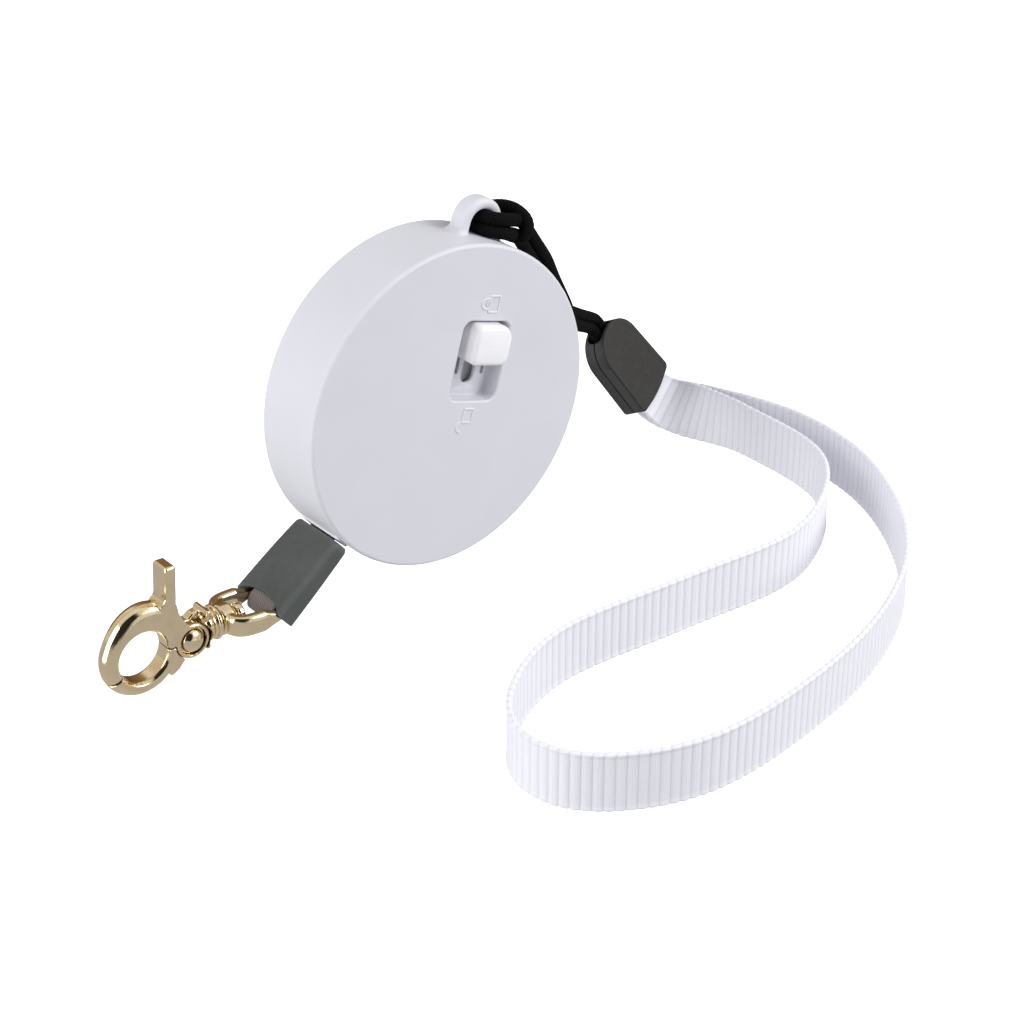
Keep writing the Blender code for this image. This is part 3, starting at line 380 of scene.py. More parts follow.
class Look:
    """A node material round one Principled shader."""

    def __init__(self, name, colour, roughness, metallic=0.0):
        self.material = bpy.data.materials.new(name)
        self.material.use_nodes = True
        self.tree = self.material.node_tree
        self.shader = self.tree.nodes["Principled BSDF"]
        self.set("Base Color", (*colour, 1.0))
        self.set("Roughness", roughness)
        self.set("Metallic", metallic)
        self.place = self.node("ShaderNodeTexCoord").outputs["Object"]
        self.uv = self.node("ShaderNodeTexCoord").outputs["UV"]
        self.colour, self.roughness = colour, roughness

    def node(self, kind, **settings):
        node = self.tree.nodes.new(kind)
        for key, value in settings.items():
            setattr(node, key, value)
        return node

    def set(self, socket, value):
        self.shader.inputs[socket].default_value = value

    def link(self, source, target):
        self.tree.links.new(source, target)

    def noise(self, size, detail=3.0, rough=0.5, source=None):
        """Noise whose features are about size millimetres wide."""
        node = self.node("ShaderNodeTexNoise")
        node.inputs["Scale"].default_value = 1 / (size * (MM if source is None else 1))
        node.inputs["Detail"].default_value = detail
        node.inputs["Roughness"].default_value = rough
        self.link(source or self.place, node.inputs["Vector"])
        return node.outputs["Fac"]

    def span(self, value, low, high, start=0.3, end=0.7):
        node = self.node("ShaderNodeMapRange")
        node.inputs["From Min"].default_value = start
        node.inputs["From Max"].default_value = end
        node.inputs["To Min"].default_value = low
        node.inputs["To Max"].default_value = high
        self.link(value, node.inputs["Value"])
        return node.outputs["Result"]

    def math(self, operation, a, b=None, c=None):
        node = self.node("ShaderNodeMath", operation=operation)
        for socket, value in zip(node.inputs, (a, b, c)):
            if value is None:
                continue
            if isinstance(value, (int, float)):
                socket.default_value = value
            else:
                self.link(value, socket)
        return node.outputs[0]

    def blend(self, factor, first, second):
        """Base colour between two colours."""
        node = self.node("ShaderNodeMix", data_type="RGBA")
        self.link(factor, node.inputs["Factor"])
        for socket, colour in (("A", first), ("B", second)):
            target = [s for s in node.inputs if s.name == socket and s.type == "RGBA"][0]
            if isinstance(colour, tuple):
                target.default_value = (*colour, 1.0)
            else:
                self.link(colour, target)
        return [s for s in node.outputs if s.type == "RGBA"][0]

    def paint(self, colour):
        self.link(colour, self.shader.inputs["Base Color"])

    def vary(self, size, spread):
        """Slow lighter and darker patches in the colour."""
        light = tuple(min(1.0, c * (1 + spread)) for c in self.colour)
        dark = tuple(c * (1 - spread) for c in self.colour)
        colour = self.blend(self.span(self.noise(size), 0, 1), dark, light)
        self.paint(colour)
        return colour

    def gloss(self, size, low, high):
        self.link(self.span(self.noise(size), low, high), self.shader.inputs["Roughness"])

    def bump(self, height, depth, strength=1.0):
        """Relief of depth millimetres, on top of any relief there already is."""
        node = self.node("ShaderNodeBump")
        node.inputs["Strength"].default_value = strength
        node.inputs["Distance"].default_value = depth * MM
        self.link(height, node.inputs["Height"])
        before = self.shader.inputs["Normal"].links
        if before:
            self.link(before[0].from_socket, node.inputs["Normal"])
        self.link(node.outputs["Normal"], self.shader.inputs["Normal"])

    def edges(self, amount):
        """Painted highlight: convex edges a little lighter in the colour, standing in for light caught on them."""
        geometry = self.node("ShaderNodeNewGeometry")
        # mask of the convex edges that get the painted highlight
        edge_highlight_mask = self.span(geometry.outputs["Pointiness"], 0, 1, 0.505, 0.56)
        links = self.shader.inputs["Base Color"].links
        base = links[0].from_socket if links else tuple(self.colour)
        light = tuple(min(1.0, c + amount) for c in self.colour)
        self.paint(self.blend(edge_highlight_mask, base, light))

    def separate(self, source):
        node = self.node("ShaderNodeSeparateXYZ")
        self.link(source, node.inputs[0])
        return node.outputs["X"], node.outputs["Y"]

    def waves(self, value, pitch):
        """0 to 1 ridges with this pitch."""
        return self.math("ABSOLUTE", self.math("SINE", self.math("MULTIPLY", value, pi / pitch)))


def white_plastic():
    look = Look("white_plastic_look", (0.685, 0.687, 0.735), 0.48)
    look.vary(9.0, 0.012)
    # painted highlight: convex edges lighter in the colour
    look.edges(0.06)
    look.gloss(1.6, 0.42, 0.56)
    look.bump(look.noise(0.32, 2.0), 0.012, 0.5)
    look.bump(look.noise(14.0, 1.0), 0.06, 0.25)
    return look.material


def slider_plastic():
    look = Look("slider_plastic_look", (0.92, 0.92, 0.93), 0.2)
    look.vary(5.0, 0.01)
    look.gloss(1.2, 0.16, 0.28)
    look.bump(look.noise(3.0, 1.0), 0.02, 0.3)
    return look.material


def inner_plastic():
    look = Look("inner_plastic_look", (0.50, 0.50, 0.52), 0.5)
    look.vary(4.0, 0.05)
    look.gloss(1.0, 0.4, 0.6)
    look.bump(look.noise(0.3), 0.01, 0.5)
    return look.material


def dark_rubber():
    look = Look("dark_rubber_look", (0.072, 0.080, 0.076), 0.72)
    look.vary(5.0, 0.06)
    # painted highlight: convex edges lighter in the colour
    look.edges(0.06)
    look.gloss(1.0, 0.62, 0.8)
    look.bump(look.noise(0.25, 2.0), 0.015, 0.5)
    return look.material


def black_plastic():
    look = Look("black_plastic_look", (0.016, 0.0155, 0.0145), 0.5)
    look.set("Specular IOR Level", 0.3)
    look.vary(2.5, 0.12)
    # painted highlight: convex edges lighter in the colour
    look.edges(0.03)
    look.gloss(0.8, 0.42, 0.6)
    look.bump(look.noise(0.28, 3.0), 0.03, 0.8)
    return look.material


def black_cord():
    look = Look("black_cord_look", (0.0022, 0.0022, 0.0024), 0.85)
    look.set("Specular IOR Level", 0.12)
    look.vary(0.6, 0.4)
    along, around = look.separate(look.uv)
    threads = look.waves(look.math("ADD", along, look.math("MULTIPLY", around, 0.8)), 0.16)
    look.bump(threads, 0.03, 0.6)
    look.bump(look.noise(0.12, 4.0), 0.03, 0.6)
    return look.material


def woven_line():
    look = Look("woven_line_look", (0.185, 0.155, 0.135), 0.78)
    along, across = look.separate(look.uv)
    warp = look.waves(across, 0.42)
    weft = look.waves(look.math("ADD", along, look.math("MULTIPLY", across, 0.5)), 0.5)
    weave = look.math("MULTIPLY", warp, weft)
    shade = look.blend(look.span(weave, 0, 1, 0.0, 0.8), (0.13, 0.115, 0.108), (0.31, 0.275, 0.262))
    look.paint(shade)
    look.set("Sheen Weight", 0.1)
    look.bump(weave, 0.06, 0.7)
    look.bump(look.noise(0.15, 4.0), 0.02, 0.5)
    return look.material


def white_webbing():
    look = Look("white_webbing_look", (0.80, 0.80, 0.86), 0.75)
    along, across = look.separate(look.uv)
    warp = look.waves(across, 0.34)
    weft = look.waves(along, STRAP_RIB / 4)
    weave = look.math("MULTIPLY", warp, look.span(weft, 0.45, 1.0, 0.0, 1.0))
    # painted shade in the hollows between the ribs and painted highlight on their crests, in step with the modelled
    # ribs
    rib = look.span(look.waves(along, STRAP_RIB), 0.0, 1.0, 0.0, 0.55)
    rib_shade_and_highlight = look.blend(rib, (0.71, 0.71, 0.79), (0.93, 0.93, 0.96))
    tone = look.blend(look.span(weave, 0, 1, 0.0, 0.9), (0.78, 0.78, 0.85), rib_shade_and_highlight)
    look.paint(tone)
    look.set("Sheen Weight", 0.2)
    look.set("Sheen Roughness", 0.4)
    look.bump(weave, 0.05, 0.5)
    look.bump(look.noise(0.2, 4.0), 0.02, 0.4)
    return look.material


def gold_metal():
    look = Look("gold_metal_look", (0.80, 0.66, 0.43), 0.16, 1.0)
    look.vary(3.0, 0.05)
    look.gloss(1.1, 0.10, 0.18)
    look.bump(look.noise(2.2, 2.0), 0.03, 0.35)
    look.bump(look.noise(0.25, 2.0), 0.004, 0.4)
    return look.material


def steel():
    look = Look("steel_look", (0.56, 0.56, 0.58), 0.3, 1.0)
    look.vary(1.5, 0.06)
    look.gloss(0.6, 0.24, 0.42)
    look.bump(look.noise(0.2, 2.0), 0.005, 0.5)
    return look.material


WHITE = white_plastic()
SLIDER = slider_plastic()
INNER = inner_plastic()
RUBBER = dark_rubber()
BLACK = black_plastic()
CORD = black_cord()
LINE = woven_line()
WEBBING = white_webbing()
GOLD = gold_metal()
STEEL = steel()


# Case


def eyelet_arch():
    """U-shaped arch with softened edges, flared where it meets the rim."""
    radius = EYELET_HOLE + EYELET_WALL / 2
    straight = [(-3.9 + 0.3 * i, -radius) for i in range(14)]
    outline = straight[:-1] + arc((0, 0), radius, -pi / 2, pi / 2, 40) + [(x, -y) for x, y in straight[::-1][1:]]
    path = np.array([(x, y, 0) for x, y in outline])
    sections = []
    for x, _ in outline:
        flare = max(0.0, -x - 1.3)
        wall = EYELET_WALL + 0.4 * flare**2
        section = rounded_rectangle((0, 0), EYELET_DEPTH + 0.5 * flare**2, wall, 1.0, 5)
        sections.append([(a, b + (wall - EYELET_WALL) / 2) for a, b in section])
    mesh = sweep("eyelet_arch", path, [(0, 0, 1)] * len(path), sections)
    centre = polar(EYELET_RADIUS * MM, EYELET_ANGLE)
    place = FRONT_VIEW @ Matrix.Translation((*centre, MIDDLE * MM)) @ Matrix.Rotation(EYELET_ANGLE, 4, "Z")
    return add("eyelet_arch", mesh, place)


def recess_cutter():
    """Recess with a rounded lip and a small round at its floor."""
    floor, lip = CASE_DEPTH - RECESS_DEPTH, 0.45
    insets = [(0.35, floor), (0.1, floor + 0.1), (0.0, floor + 0.35)]
    insets += [(-lip * (1 - cos(t * pi / 12)), CASE_DEPTH - lip + lip * sin(t * pi / 12)) for t in range(7)]
    insets += [(-lip, CASE_DEPTH + 2)]
    outlines = [
        rounded_rectangle(RECESS_CENTRE, RECESS_SIZE[0] - 2 * e, RECESS_SIZE[1] - 2 * e, 2.0 - e)
        for e, _ in insets
    ]
    return add("recess", loft("recess", outlines, [z for _, z in insets]))


def slot_cutter():
    """Guide slot for the slider's stem, with a chamfered rim."""
    floor = CASE_DEPTH - RECESS_DEPTH
    bottom, top, width = 4.0, 15.3, 2.9
    insets = [(0, floor - 3), (0, floor - 0.2), (-0.3, floor + 0.1), (-0.3, floor + 0.5)]
    outlines = [
        rounded_rectangle((SLOT_X, (bottom + top) / 2), width - 2 * e, top - bottom - 2 * e, width / 2 - e)
        for e, _ in insets
    ]
    return add("guide_slot", loft("guide_slot", outlines, [z for _, z in insets]))


def slit_cutter(x):
    floor = CASE_DEPTH - RECESS_DEPTH
    outline = rounded_rectangle((x, 9.6), 0.8, 7.4, 0.35, 4)
    return add("slit", loft("slit", [outline, outline], [floor - 3, floor + 0.5]))


def make_case():
    radius, depth, edge = CASE_RADIUS, CASE_DEPTH, RIM_ROUND
    profile = arc((radius - edge, depth - edge), edge, pi / 2, 0, 8)
    profile += [(radius, depth * 0.66), (radius, depth * 0.33)]
    profile += arc((radius - 0.5, 0.5), 0.5, 0, -pi / 2, 6)
    profile += [(SEAT_RADIUS + 0.1, 0), (SEAT_RADIUS, 0.1), (SEAT_RADIUS, 2.0), (31.0, 2.0), (31.0, 14.6)]
    case = add("case_shell", lathe("case_shell", profile, CASE_STEPS))
    land = rounded_rectangle((0.3, 0), 11.8, 3.5, 0.6, 6)
    lift = [[(a, b) for a, b in land]] * 2 + [[(a * 0.98, b * 0.94) for a, b in land]]
    land_mesh = grid_mesh("land", [[(x, b, a) for a, b in line] for line, x in zip(lift, (31.6, 33.2, 33.4))],
                          caps=True)
    weld(case, eyelet_arch(), add("land", land_mesh, EXIT))
    throat = rounded_rectangle((0, 0), 10.6, 2.6, 0.5, 4)
    throat_mesh = grid_mesh("throat", [[(x, b, a) for a, b in throat] for x in (28.0, 36.0)], caps=True)
    pocket = rounded_rectangle(RECESS_CENTRE, RECESS_SIZE[0] + 2, RECESS_SIZE[1] + 2, 3.0)
    weld(case, add("pocket", loft("pocket", [pocket, pocket], [11.9, 15.0])))
    cut(case, add("throat", throat_mesh, EXIT), recess_cutter(), slot_cutter(), *[slit_cutter(x) for x in SLIT_X])
    merge(case, *pictograms())
    dress(case, WHITE, "case", ["front_housing"], angle=32, weighted=True)


def raised_line(points, closed=False):
    """Low rounded line moulded on the face."""
    points = [(x, y, CASE_DEPTH) for x, y in points]
    if closed:
        points.append(points[0])
    _, path = resample(np.array(points, float), step=0.12)
    path = relax(path, 3, 1)
    section = [(0.24 * cos(a), 0.2 * sin(a)) for a in np.linspace(0, 2 * pi, 12, endpoint=False)]
    rulings = np.cross(unit(np.gradient(path, axis=0)), (0, 0, 1))
    return add("line", sweep("line", path, rulings, section))


def pictograms():
    """A closed padlock on its side above the recess and an open one below it."""
    closed_body = [(3.5, 19.6), (5.9, 19.6), (5.85, 22.8), (3.5, 22.8)]
    closed_bow = [(3.5, 22.2), (2.6, 22.25), (1.75, 21.8), (1.5, 21.2), (1.75, 20.6), (2.6, 20.2), (3.5, 20.25)]
    inner_bow = [(3.2, 21.9), (2.85, 21.6), (2.7, 21.2), (2.85, 20.8), (3.2, 20.5)]
    open_body = [(3.1, -0.1), (5.45, -0.1), (5.4, -2.9), (3.1, -2.85)]
    open_bow = [(2.95, -2.8), (2.3, -3.1), (1.95, -3.8), (2.2, -4.6), (3.05, -5.0)]
    return [raised_line(closed_body, True), raised_line(closed_bow), raised_line(inner_bow),
            raised_line(open_body, True), raised_line(open_bow)]


def slider_outline(inset):
    """Plan of the thumb button: three tight corners, and a wide one at the upper right."""
    width, height = SLIDER_SIZE
    x, y = SLIDER_CENTRE
    outline = []
    corners = ((1, 1, 3.0), (-1, 1, 1.6), (-1, -1, 1.6), (1, -1, 1.9))
    for quarter, (right, up, round_off) in enumerate(corners):
        corner = max(0.5, round_off - 0.7 * inset)
        middle = (x + right * (width / 2 - inset - corner), y + up * (height / 2 - inset - corner))
        outline += arc(middle, corner, quarter * pi / 2, (quarter + 1) * pi / 2, 10)
    return outline


def make_slider():
    """Thumb button with a crowned top, rounded edges and its stem."""
    bottom, top, edge = CASE_DEPTH - RECESS_DEPTH + 0.25, CASE_DEPTH + SLIDER_PROUD, 1.15
    rings = [(0.25, bottom), (0.0, bottom + 0.25), (0.0, bottom + 2.0), (0.0, top - edge - 0.25)]
    rings += [(edge * (1 - cos(t * pi / 20)), top - edge - 0.25 + edge * sin(t * pi / 20)) for t in range(1, 11)]
    rows = [[(x, y, z) for x, y in slider_outline(inset)] for inset, z in rings]
    last = np.array(rows[-1])
    centre = np.array((*SLIDER_CENTRE, 0))
    for share in (0.9, 0.8, 0.66, 0.5, 0.34, 0.18, 0.06):
        ring = centre + (last - centre) * (share, share, 1)
        ring[:, 2] = last[:, 2] + 0.25 * (1 - share**2)
        rows.append(ring.tolist())
    slider = add("thumb_slider", grid_mesh("thumb_slider", rows, caps=True))
    stem = rounded_rectangle(SLIDER_CENTRE, 2.3, 3.0, 0.4, 4)
    merge(slider, add("stem", loft("stem", [stem, stem], [11.15, bottom + 1])))
    dress(slider, SLIDER, "lock", ["lock_slider"], angle=40)


def make_rear():
    """Rear cover with two shallow moulded rings and its counterbores, and the screws in them."""
    radius, top = COVER_RADIUS, COVER_THICKNESS
    profile = [(radius - 0.3, top), (radius, top - 0.3), (radius, 0.3)]
    profile += arc((radius - 0.3, 0.3), 0.3, 0, -pi / 2, 4)
    for ring in (24.0, 11.0):
        profile += [(ring + 0.55, 0), (ring + 0.45, 0.05), (ring + 0.3, 0.28), (ring - 0.3, 0.28),
                    (ring - 0.45, 0.05), (ring - 0.55, 0)]
    cover = add("rear_disc", lathe("rear_disc", profile, CASE_STEPS))
    screws = []
    for number in (1, 2, 3):
        low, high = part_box(f"cover_screw_{number}")
        x, y = (low.x + high.x) / 2 / MM, (low.z + high.z) / 2 / MM
        place = FRONT_VIEW @ Matrix.Translation((x * MM, y * MM, 0))
        bore = lathe("bore", [(2.25, -1), (2.2, 0.0), (1.95, 0.2), (1.95, 0.9), (1.0, 0.9), (1.0, 3)], 48)
        screws.append((number, place))
        cut(cover, add("bore", bore, place))
    dress(cover, WHITE, "case", ["rear_cover"], angle=32, weighted=True)
    for number, place in screws:
        head = [(0.65, 7.0), (0.65, 0.75), (1.6, 0.75), (1.6, 0.45)]
        head += [(1.6 * cos(t * pi / 12), 0.45 - 0.33 * sin(t * pi / 12)) for t in range(1, 5)] + [(0.3, 0.1)]
        screw = add(f"pan_screw_{number}", lathe("screw", head, 48), place)
        for turn in (0, pi / 2):
            arm = rounded_rectangle((0, 0), 1.9, 0.42, 0.1, 2)
            blade = [[(x * s, y * s) for x, y in arm] for s in (1.0, 0.6)]
            tool = add("driver", loft("driver", blade, [-0.3, 0.62]),
                       place @ Matrix.Rotation(turn + number * 0.7, 4, "Z"))
            cut(screw, tool)
        dress(screw, STEEL, "case", [f"cover_screw_{number}"], angle=32)


# Line end


def mouth(across):
    """How far out the scooped mouth of the sleeve reaches."""
    half = (SLEEVE_FRONT[1] - SLEEVE_REAR[1]) / 2
    offset = abs(across - (SLEEVE_FRONT[1] + SLEEVE_REAR[1]) / 2)
    radius = (half**2 + SLEEVE_SCOOP**2) / (2 * SLEEVE_SCOOP)
    return SLEEVE_END - SLEEVE_SCOOP + radius - sqrt(max(0.0, radius**2 - min(offset, half)**2))


def make_sleeve():
    """Rubber shell: outside, rolled lip of the mouth, cavity for the eye, bore and back to the case end."""
    rows = []

    def ring(front, rear, thickness, corner, share, push=0.0):
        line = rounded_rectangle(((front + rear) / 2, 0), front - rear, thickness, corner, steps=8, side=12)
        rows.append([
            (SLEEVE_START + (mouth(z) + push - SLEEVE_START) * share, y, z) for z, y in line
        ])

    def outer(share):
        swell = 0.12 * sin(pi * share)
        front = SLEEVE_FRONT[0] + (SLEEVE_FRONT[1] - SLEEVE_FRONT[0]) * share + swell
        rear = SLEEVE_REAR[0] + (SLEEVE_REAR[1] - SLEEVE_REAR[0]) * share**0.8 - swell
        return front, rear, 4.0 + 1.1 * share

    for i in range(41):
        share = i / 40
        front, rear, thickness = outer(share)
        soft = 0.3 * (1 - min(1.0, i / 1.5))
        ring(front - soft, rear + soft, thickness - 2 * soft, 1.0, share, -0.35 * share**8)
    front, rear, thickness = outer(1.0)
    for turn in (0.25, 0.5, 0.75, 1.0):
        inset = 0.3 * (1 - cos(turn * pi / 2))
        ring(front - inset, rear + inset, thickness - 2 * inset, 0.9, 1.0, -0.35 + 0.35 * sin(turn * pi / 2))
    for turn in (0.3, 0.6, 1.0):
        inset = 0.45 + 0.12 * turn
        ring(front - inset, rear + inset, thickness - 2 * inset, 0.7, 1.0, -0.25 * turn)
    for share in (0.97, 0.9, 0.8):
        ring(6.2, -6.4, 3.85, 0.6, share)
    for share in (0.76, 0.6, 0.3, 0.02):
        ring(4.4, -4.4, 2.3, 0.6, share)
    sleeve = add("rubber_sleeve", grid_mesh("rubber_sleeve", rows, along=True), EXIT)
    dress(sleeve, RUBBER, "line_end", ["line_sleeve"], angle=50)


def tape_section(width, thickness):
    """Flat section with round selvedges: (across, through)."""
    half, edge = width / 2, thickness / 2
    flat = [half - edge - (width - 2 * edge) * i / 24 for i in range(25)]
    top = [(x, edge) for x in flat]
    left = [(-half + edge + edge * cos(a), edge * sin(a)) for a in np.linspace(pi / 2, 3 * pi / 2, 6)[1:-1]]
    bottom = [(x, -edge) for x in flat[::-1]]
    right = [(half - edge + edge * cos(a), edge * sin(a)) for a in np.linspace(-pi / 2, pi / 2, 6)[1:-1]]
    return np.array(top + left + bottom + right)


def make_line_end():
    """End of the line, folded round the crossbar of the eye and stitched together in the sleeve."""
    radius, opening = 1.65, radians(118)
    turn = [(CROSSBAR + (x - CROSSBAR) * (1.75 if x > CROSSBAR else 1.0), y)
            for x, y in arc((CROSSBAR, 0), radius, opening, -opening, 24)]
    upper = [(35.0, 0.42), (42.0, 0.42), (46.3, 0.45), (48.1, 0.78)]
    points = upper + turn + [(x, -y) for x, y in reversed(upper)]
    path = smooth_path([(x, y, 0) for x, y in points], 4)
    lengths, path = resample(path, step=0.12)
    path = relax(path, 6)
    thread = 1 + 0.12 * np.abs(np.sin(pi * lengths / 0.5))[:, None, None]
    section = tape_section(LINE_WIDTH, 0.62)[None] * np.ones((len(path), 1, 1))
    section[..., 1:] *= thread
    mesh = sweep("line_loop", path, [(0, 0, 1)] * len(path), section, lengths=lengths)
    loop = add("woven_loop", mesh, EXIT)
    dress(loop, LINE, "line_end", ["line_loop"], angle=60)


def make_pulled_line():
    """Line between the mouth of the case and the sleeve."""
    stations = np.linspace(29.5, 36.5, 281)
    path = np.stack([stations, 0 * stations, 0 * stations], -1)
    mesh = sweep("pulled_line", path, [(0, 0, 1)] * len(path), tape_section(LINE_WIDTH - 0.2, 0.62))
    line = add("pulled_line", mesh, EXIT)
    dress(line, LINE, None, angle=60)
    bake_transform(line)


# Hook


def bar_between(name, start, end, radius, steps=48):
    """Round bar along the hook's axis with softened ends, as (x, radius) lathe."""
    edge = min(0.35, radius * 0.3, (end - start) * 0.3)
    profile = [(radius - edge, start)] + [(radius, start + edge), (radius, end - edge), (radius - edge, end)]
    mesh = lathe(name, profile, steps)
    mesh.transform(Matrix.Rotation(pi / 2, 4, "Y"))
    return add(name, mesh, HOOK)


def upright(name, radius, low, high, edge=0.0, steps=64):
    """Round bar round the rivet's axis, square to the hook's flat faces."""
    profile = [(radius - edge, low), (radius, low + edge), (radius, high - edge), (radius - edge, high)]
    if not edge:
        profile = [(radius, low), (radius, high)]
    mesh = lathe(name, profile, steps)
    mesh.transform(Matrix.Translation((PIVOT_X * MM, HOOK_DROP * MM, 0)))
    return add(name, mesh, HOOK)


def ring_part(name, start, end):
    """Arc of the ring with a wide bevel outside; its outside swells towards the thumb blade."""
    half = HOOK_THICKNESS / 2
    steps = max(8, int(abs(end - start) / radians(3)))
    rows = []
    for i in range(steps + 1):
        a = start + (end - start) * i / steps
        outer = RING_OUTER + RING_SHOULDER * max(0.0, cos(a - radians(250)))**2
        front = [(RING_INNER, half - 0.7), (RING_INNER + 0.5, half), (outer - 1.6, half), (outer - 0.9, half - 0.3),
                 (outer - 0.3, half - 0.95), (outer, half - 1.7)]
        section = front + [(r, -z) for r, z in reversed(front)]
        rows.append([(RING_X + r * cos(a), HOOK_DROP + r * sin(a), z) for r, z in section])
    return add(name, grid_mesh(name, rows, caps=True), HOOK)


def slab(name, outline, low, high, bevel=0.4):
    """Flat plate from an outline, its edges bevelled by scaling towards its middle."""
    points = np.array(outline, float)
    middle = points.mean(0)
    reach = np.abs(points - middle).max(0)
    shrink = 1 - bevel / reach
    small = middle + (points - middle) * shrink
    return add(name, loft(name, [small, points, points, small], [low, low + bevel, high - bevel, high]), HOOK)


def make_eye():
    """Eye with a crossbar, thick flat arms and a bored base."""
    side = [(0.0, 0.0), (0.0, 3.4), (0.25, 4.4), (1.0, 5.0), (2.4, 5.15), (4.4, 5.1), (6.6, 5.05), (8.6, 4.8),
            (10.0, 4.0), (10.7, 2.6), (10.9, 1.2)]
    half = [(x, 0, z) for x, z in side]
    points = [(x, y, -z) for x, y, z in reversed(half[1:])] + half
    path = smooth_path(points, 8)
    _, path = resample(path, step=0.18)
    path = relax(path, 6, 1)
    sections = []
    for x, _, _ in path:
        grow = min(1.0, max(0.0, (x - 1.6) / 3.2))
        tall, deep = 1.05 + 1.05 * grow, 1.05 + 0.15 * grow
        turns = np.linspace(0, 2 * pi, 36, endpoint=False)
        square = 1 + 0.16 * grow * np.sin(2 * turns)**2
        sections.append(np.stack([tall * np.cos(turns) * square, deep * np.sin(turns) * square], -1))
    eye = add("swivel_loop", sweep("eye", path, [(0, 1, 0)] * len(path), sections), HOOK)
    merge(eye, bar_between("collar", 9.3, 12.2, 3.1), bar_between("shoulder", 8.9, 10.2, 2.5))
    remesh(eye, 0.13, 4)
    cut(eye, bar_between("bore", 8.0, 14.0, 1.5), solver="MANIFOLD")
    dress(eye, GOLD, "eye", ["swivel_eye"], angle=50)


def make_hook_body():
    """Post, flange, neck and lower jaw in one casting."""
    half = HOOK_THICKNESS / 2
    body = ring_part("hook_casting", JAW_SPLIT + 0.035, pi - 0.02)
    neck = lathe("neck", [(2.9, 13.2), (2.75, 13.6), (2.75, 14.1), (3.2, 14.6), (3.35, 15.2), (3.1, 15.8),
                          (2.4, 16.3)], 56)
    neck.transform(Matrix.Rotation(pi / 2, 4, "Y"))
    neck = add("neck", neck, HOOK)
    plate = slab("shoulder_plate", [(14.9, -4.1), (15.7, -4.1), (15.9, -3.2), (15.9, 3.4), (15.7, 4.0),
                                    (14.9, 4.0)], -half - 0.2, half + 0.2, 0.25)
    web = slab("web", [(14.9, -3.5), (17.3, -3.1), (18.6, -2.0), (20.0, 3.6), (17.4, 4.2), (14.9, 3.6)],
               -half, -0.15, 0.3)
    heel = slab("heel", [(19.9, 1.7), (21.9, 1.9), (23.8, 4.3), (23.4, 7.3), (21.8, 6.3), (19.8, 4.1)],
                -half, half, 0.4)
    merge(body, bar_between("flange", 12.5, 13.4, 3.5), neck, plate, web, heel,
          bar_between("post", 6.9, 13.2, 1.3), bar_between("post_head", 6.6, 8.2, 2.1),
          upright("boss", 3.5, -half, -0.12))
    remesh(body, 0.13, 0)
    cut(body, upright("clearance", 3.8, -0.12, 4.0), upright("bore", 1.3, -4, 4), solver="MANIFOLD")
    remesh(body, 0.13, 3)
    dress(body, GOLD, "hook", ["hook_body"], angle=50)


def make_jaw():
    """Upper jaw with its boss round the rivet and its thumb blade."""
    half = HOOK_THICKNESS / 2
    jaw = ring_part("trigger_casting", pi + 0.02, 2 * pi + JAW_SPLIT - 0.035)
    plate = slab("cheek", [(17.6, -1.6), (19.6, -2.4), (21.6, -5.6), (22.0, -7.6), (24.4, -7.0), (24.6, -4.4),
                           (23.4, -1.4), (22.2, 1.6), (19.4, 4.0)], 0.15, half, 0.25)
    blade = slab("blade", [(22.0, -15.5), (22.3, -16.0), (24.1, -16.0), (24.4, -15.5), (24.5, -9.4),
                           (24.9, -8.6), (25.8, -8.0), (25.4, -6.2), (22.0, -5.6)], -half, half, 0.4)
    merge(jaw, plate, blade, upright("boss", 3.6, 0.12, half, 0.3))
    remesh(jaw, 0.13, 0)
    cut(jaw, upright("clearance", 3.8, -4, 0.12), upright("bore", 1.3, -4, 4),
        upright("well", 2.85, half - 1.1, half + 1), solver="MANIFOLD")
    remesh(jaw, 0.13, 3)
    dress(jaw, GOLD, "trigger", ["trigger_jaw"], angle=50)


def make_rivet():
    """Domed rivet in its well, and its flat tail."""
    front, back = HOOK_THICKNESS / 2 - 0.85, -HOOK_THICKNESS / 2 - 0.2
    profile = [(0.15, front + 1.75)]
    profile += [(2.4 * sin(pi / 2 * i / 14), front + 0.15 + 1.6 * cos(pi / 2 * i / 14)) for i in range(2, 15)]
    profile += [(2.4, front), (1.2, front), (1.2, back), (1.85, back), (1.85, back - 0.3),
                (1.6, back - 0.5), (0.3, back - 0.55)]
    mesh = lathe("rivet", profile, 72)
    mesh.transform(Matrix.Translation((PIVOT_X * MM, HOOK_DROP * MM, 0)))
    rivet = add("domed_rivet", mesh, HOOK)
    dress(rivet, GOLD, "hook", ["trigger_rivet"], angle=40)


# Cord, clip and strap


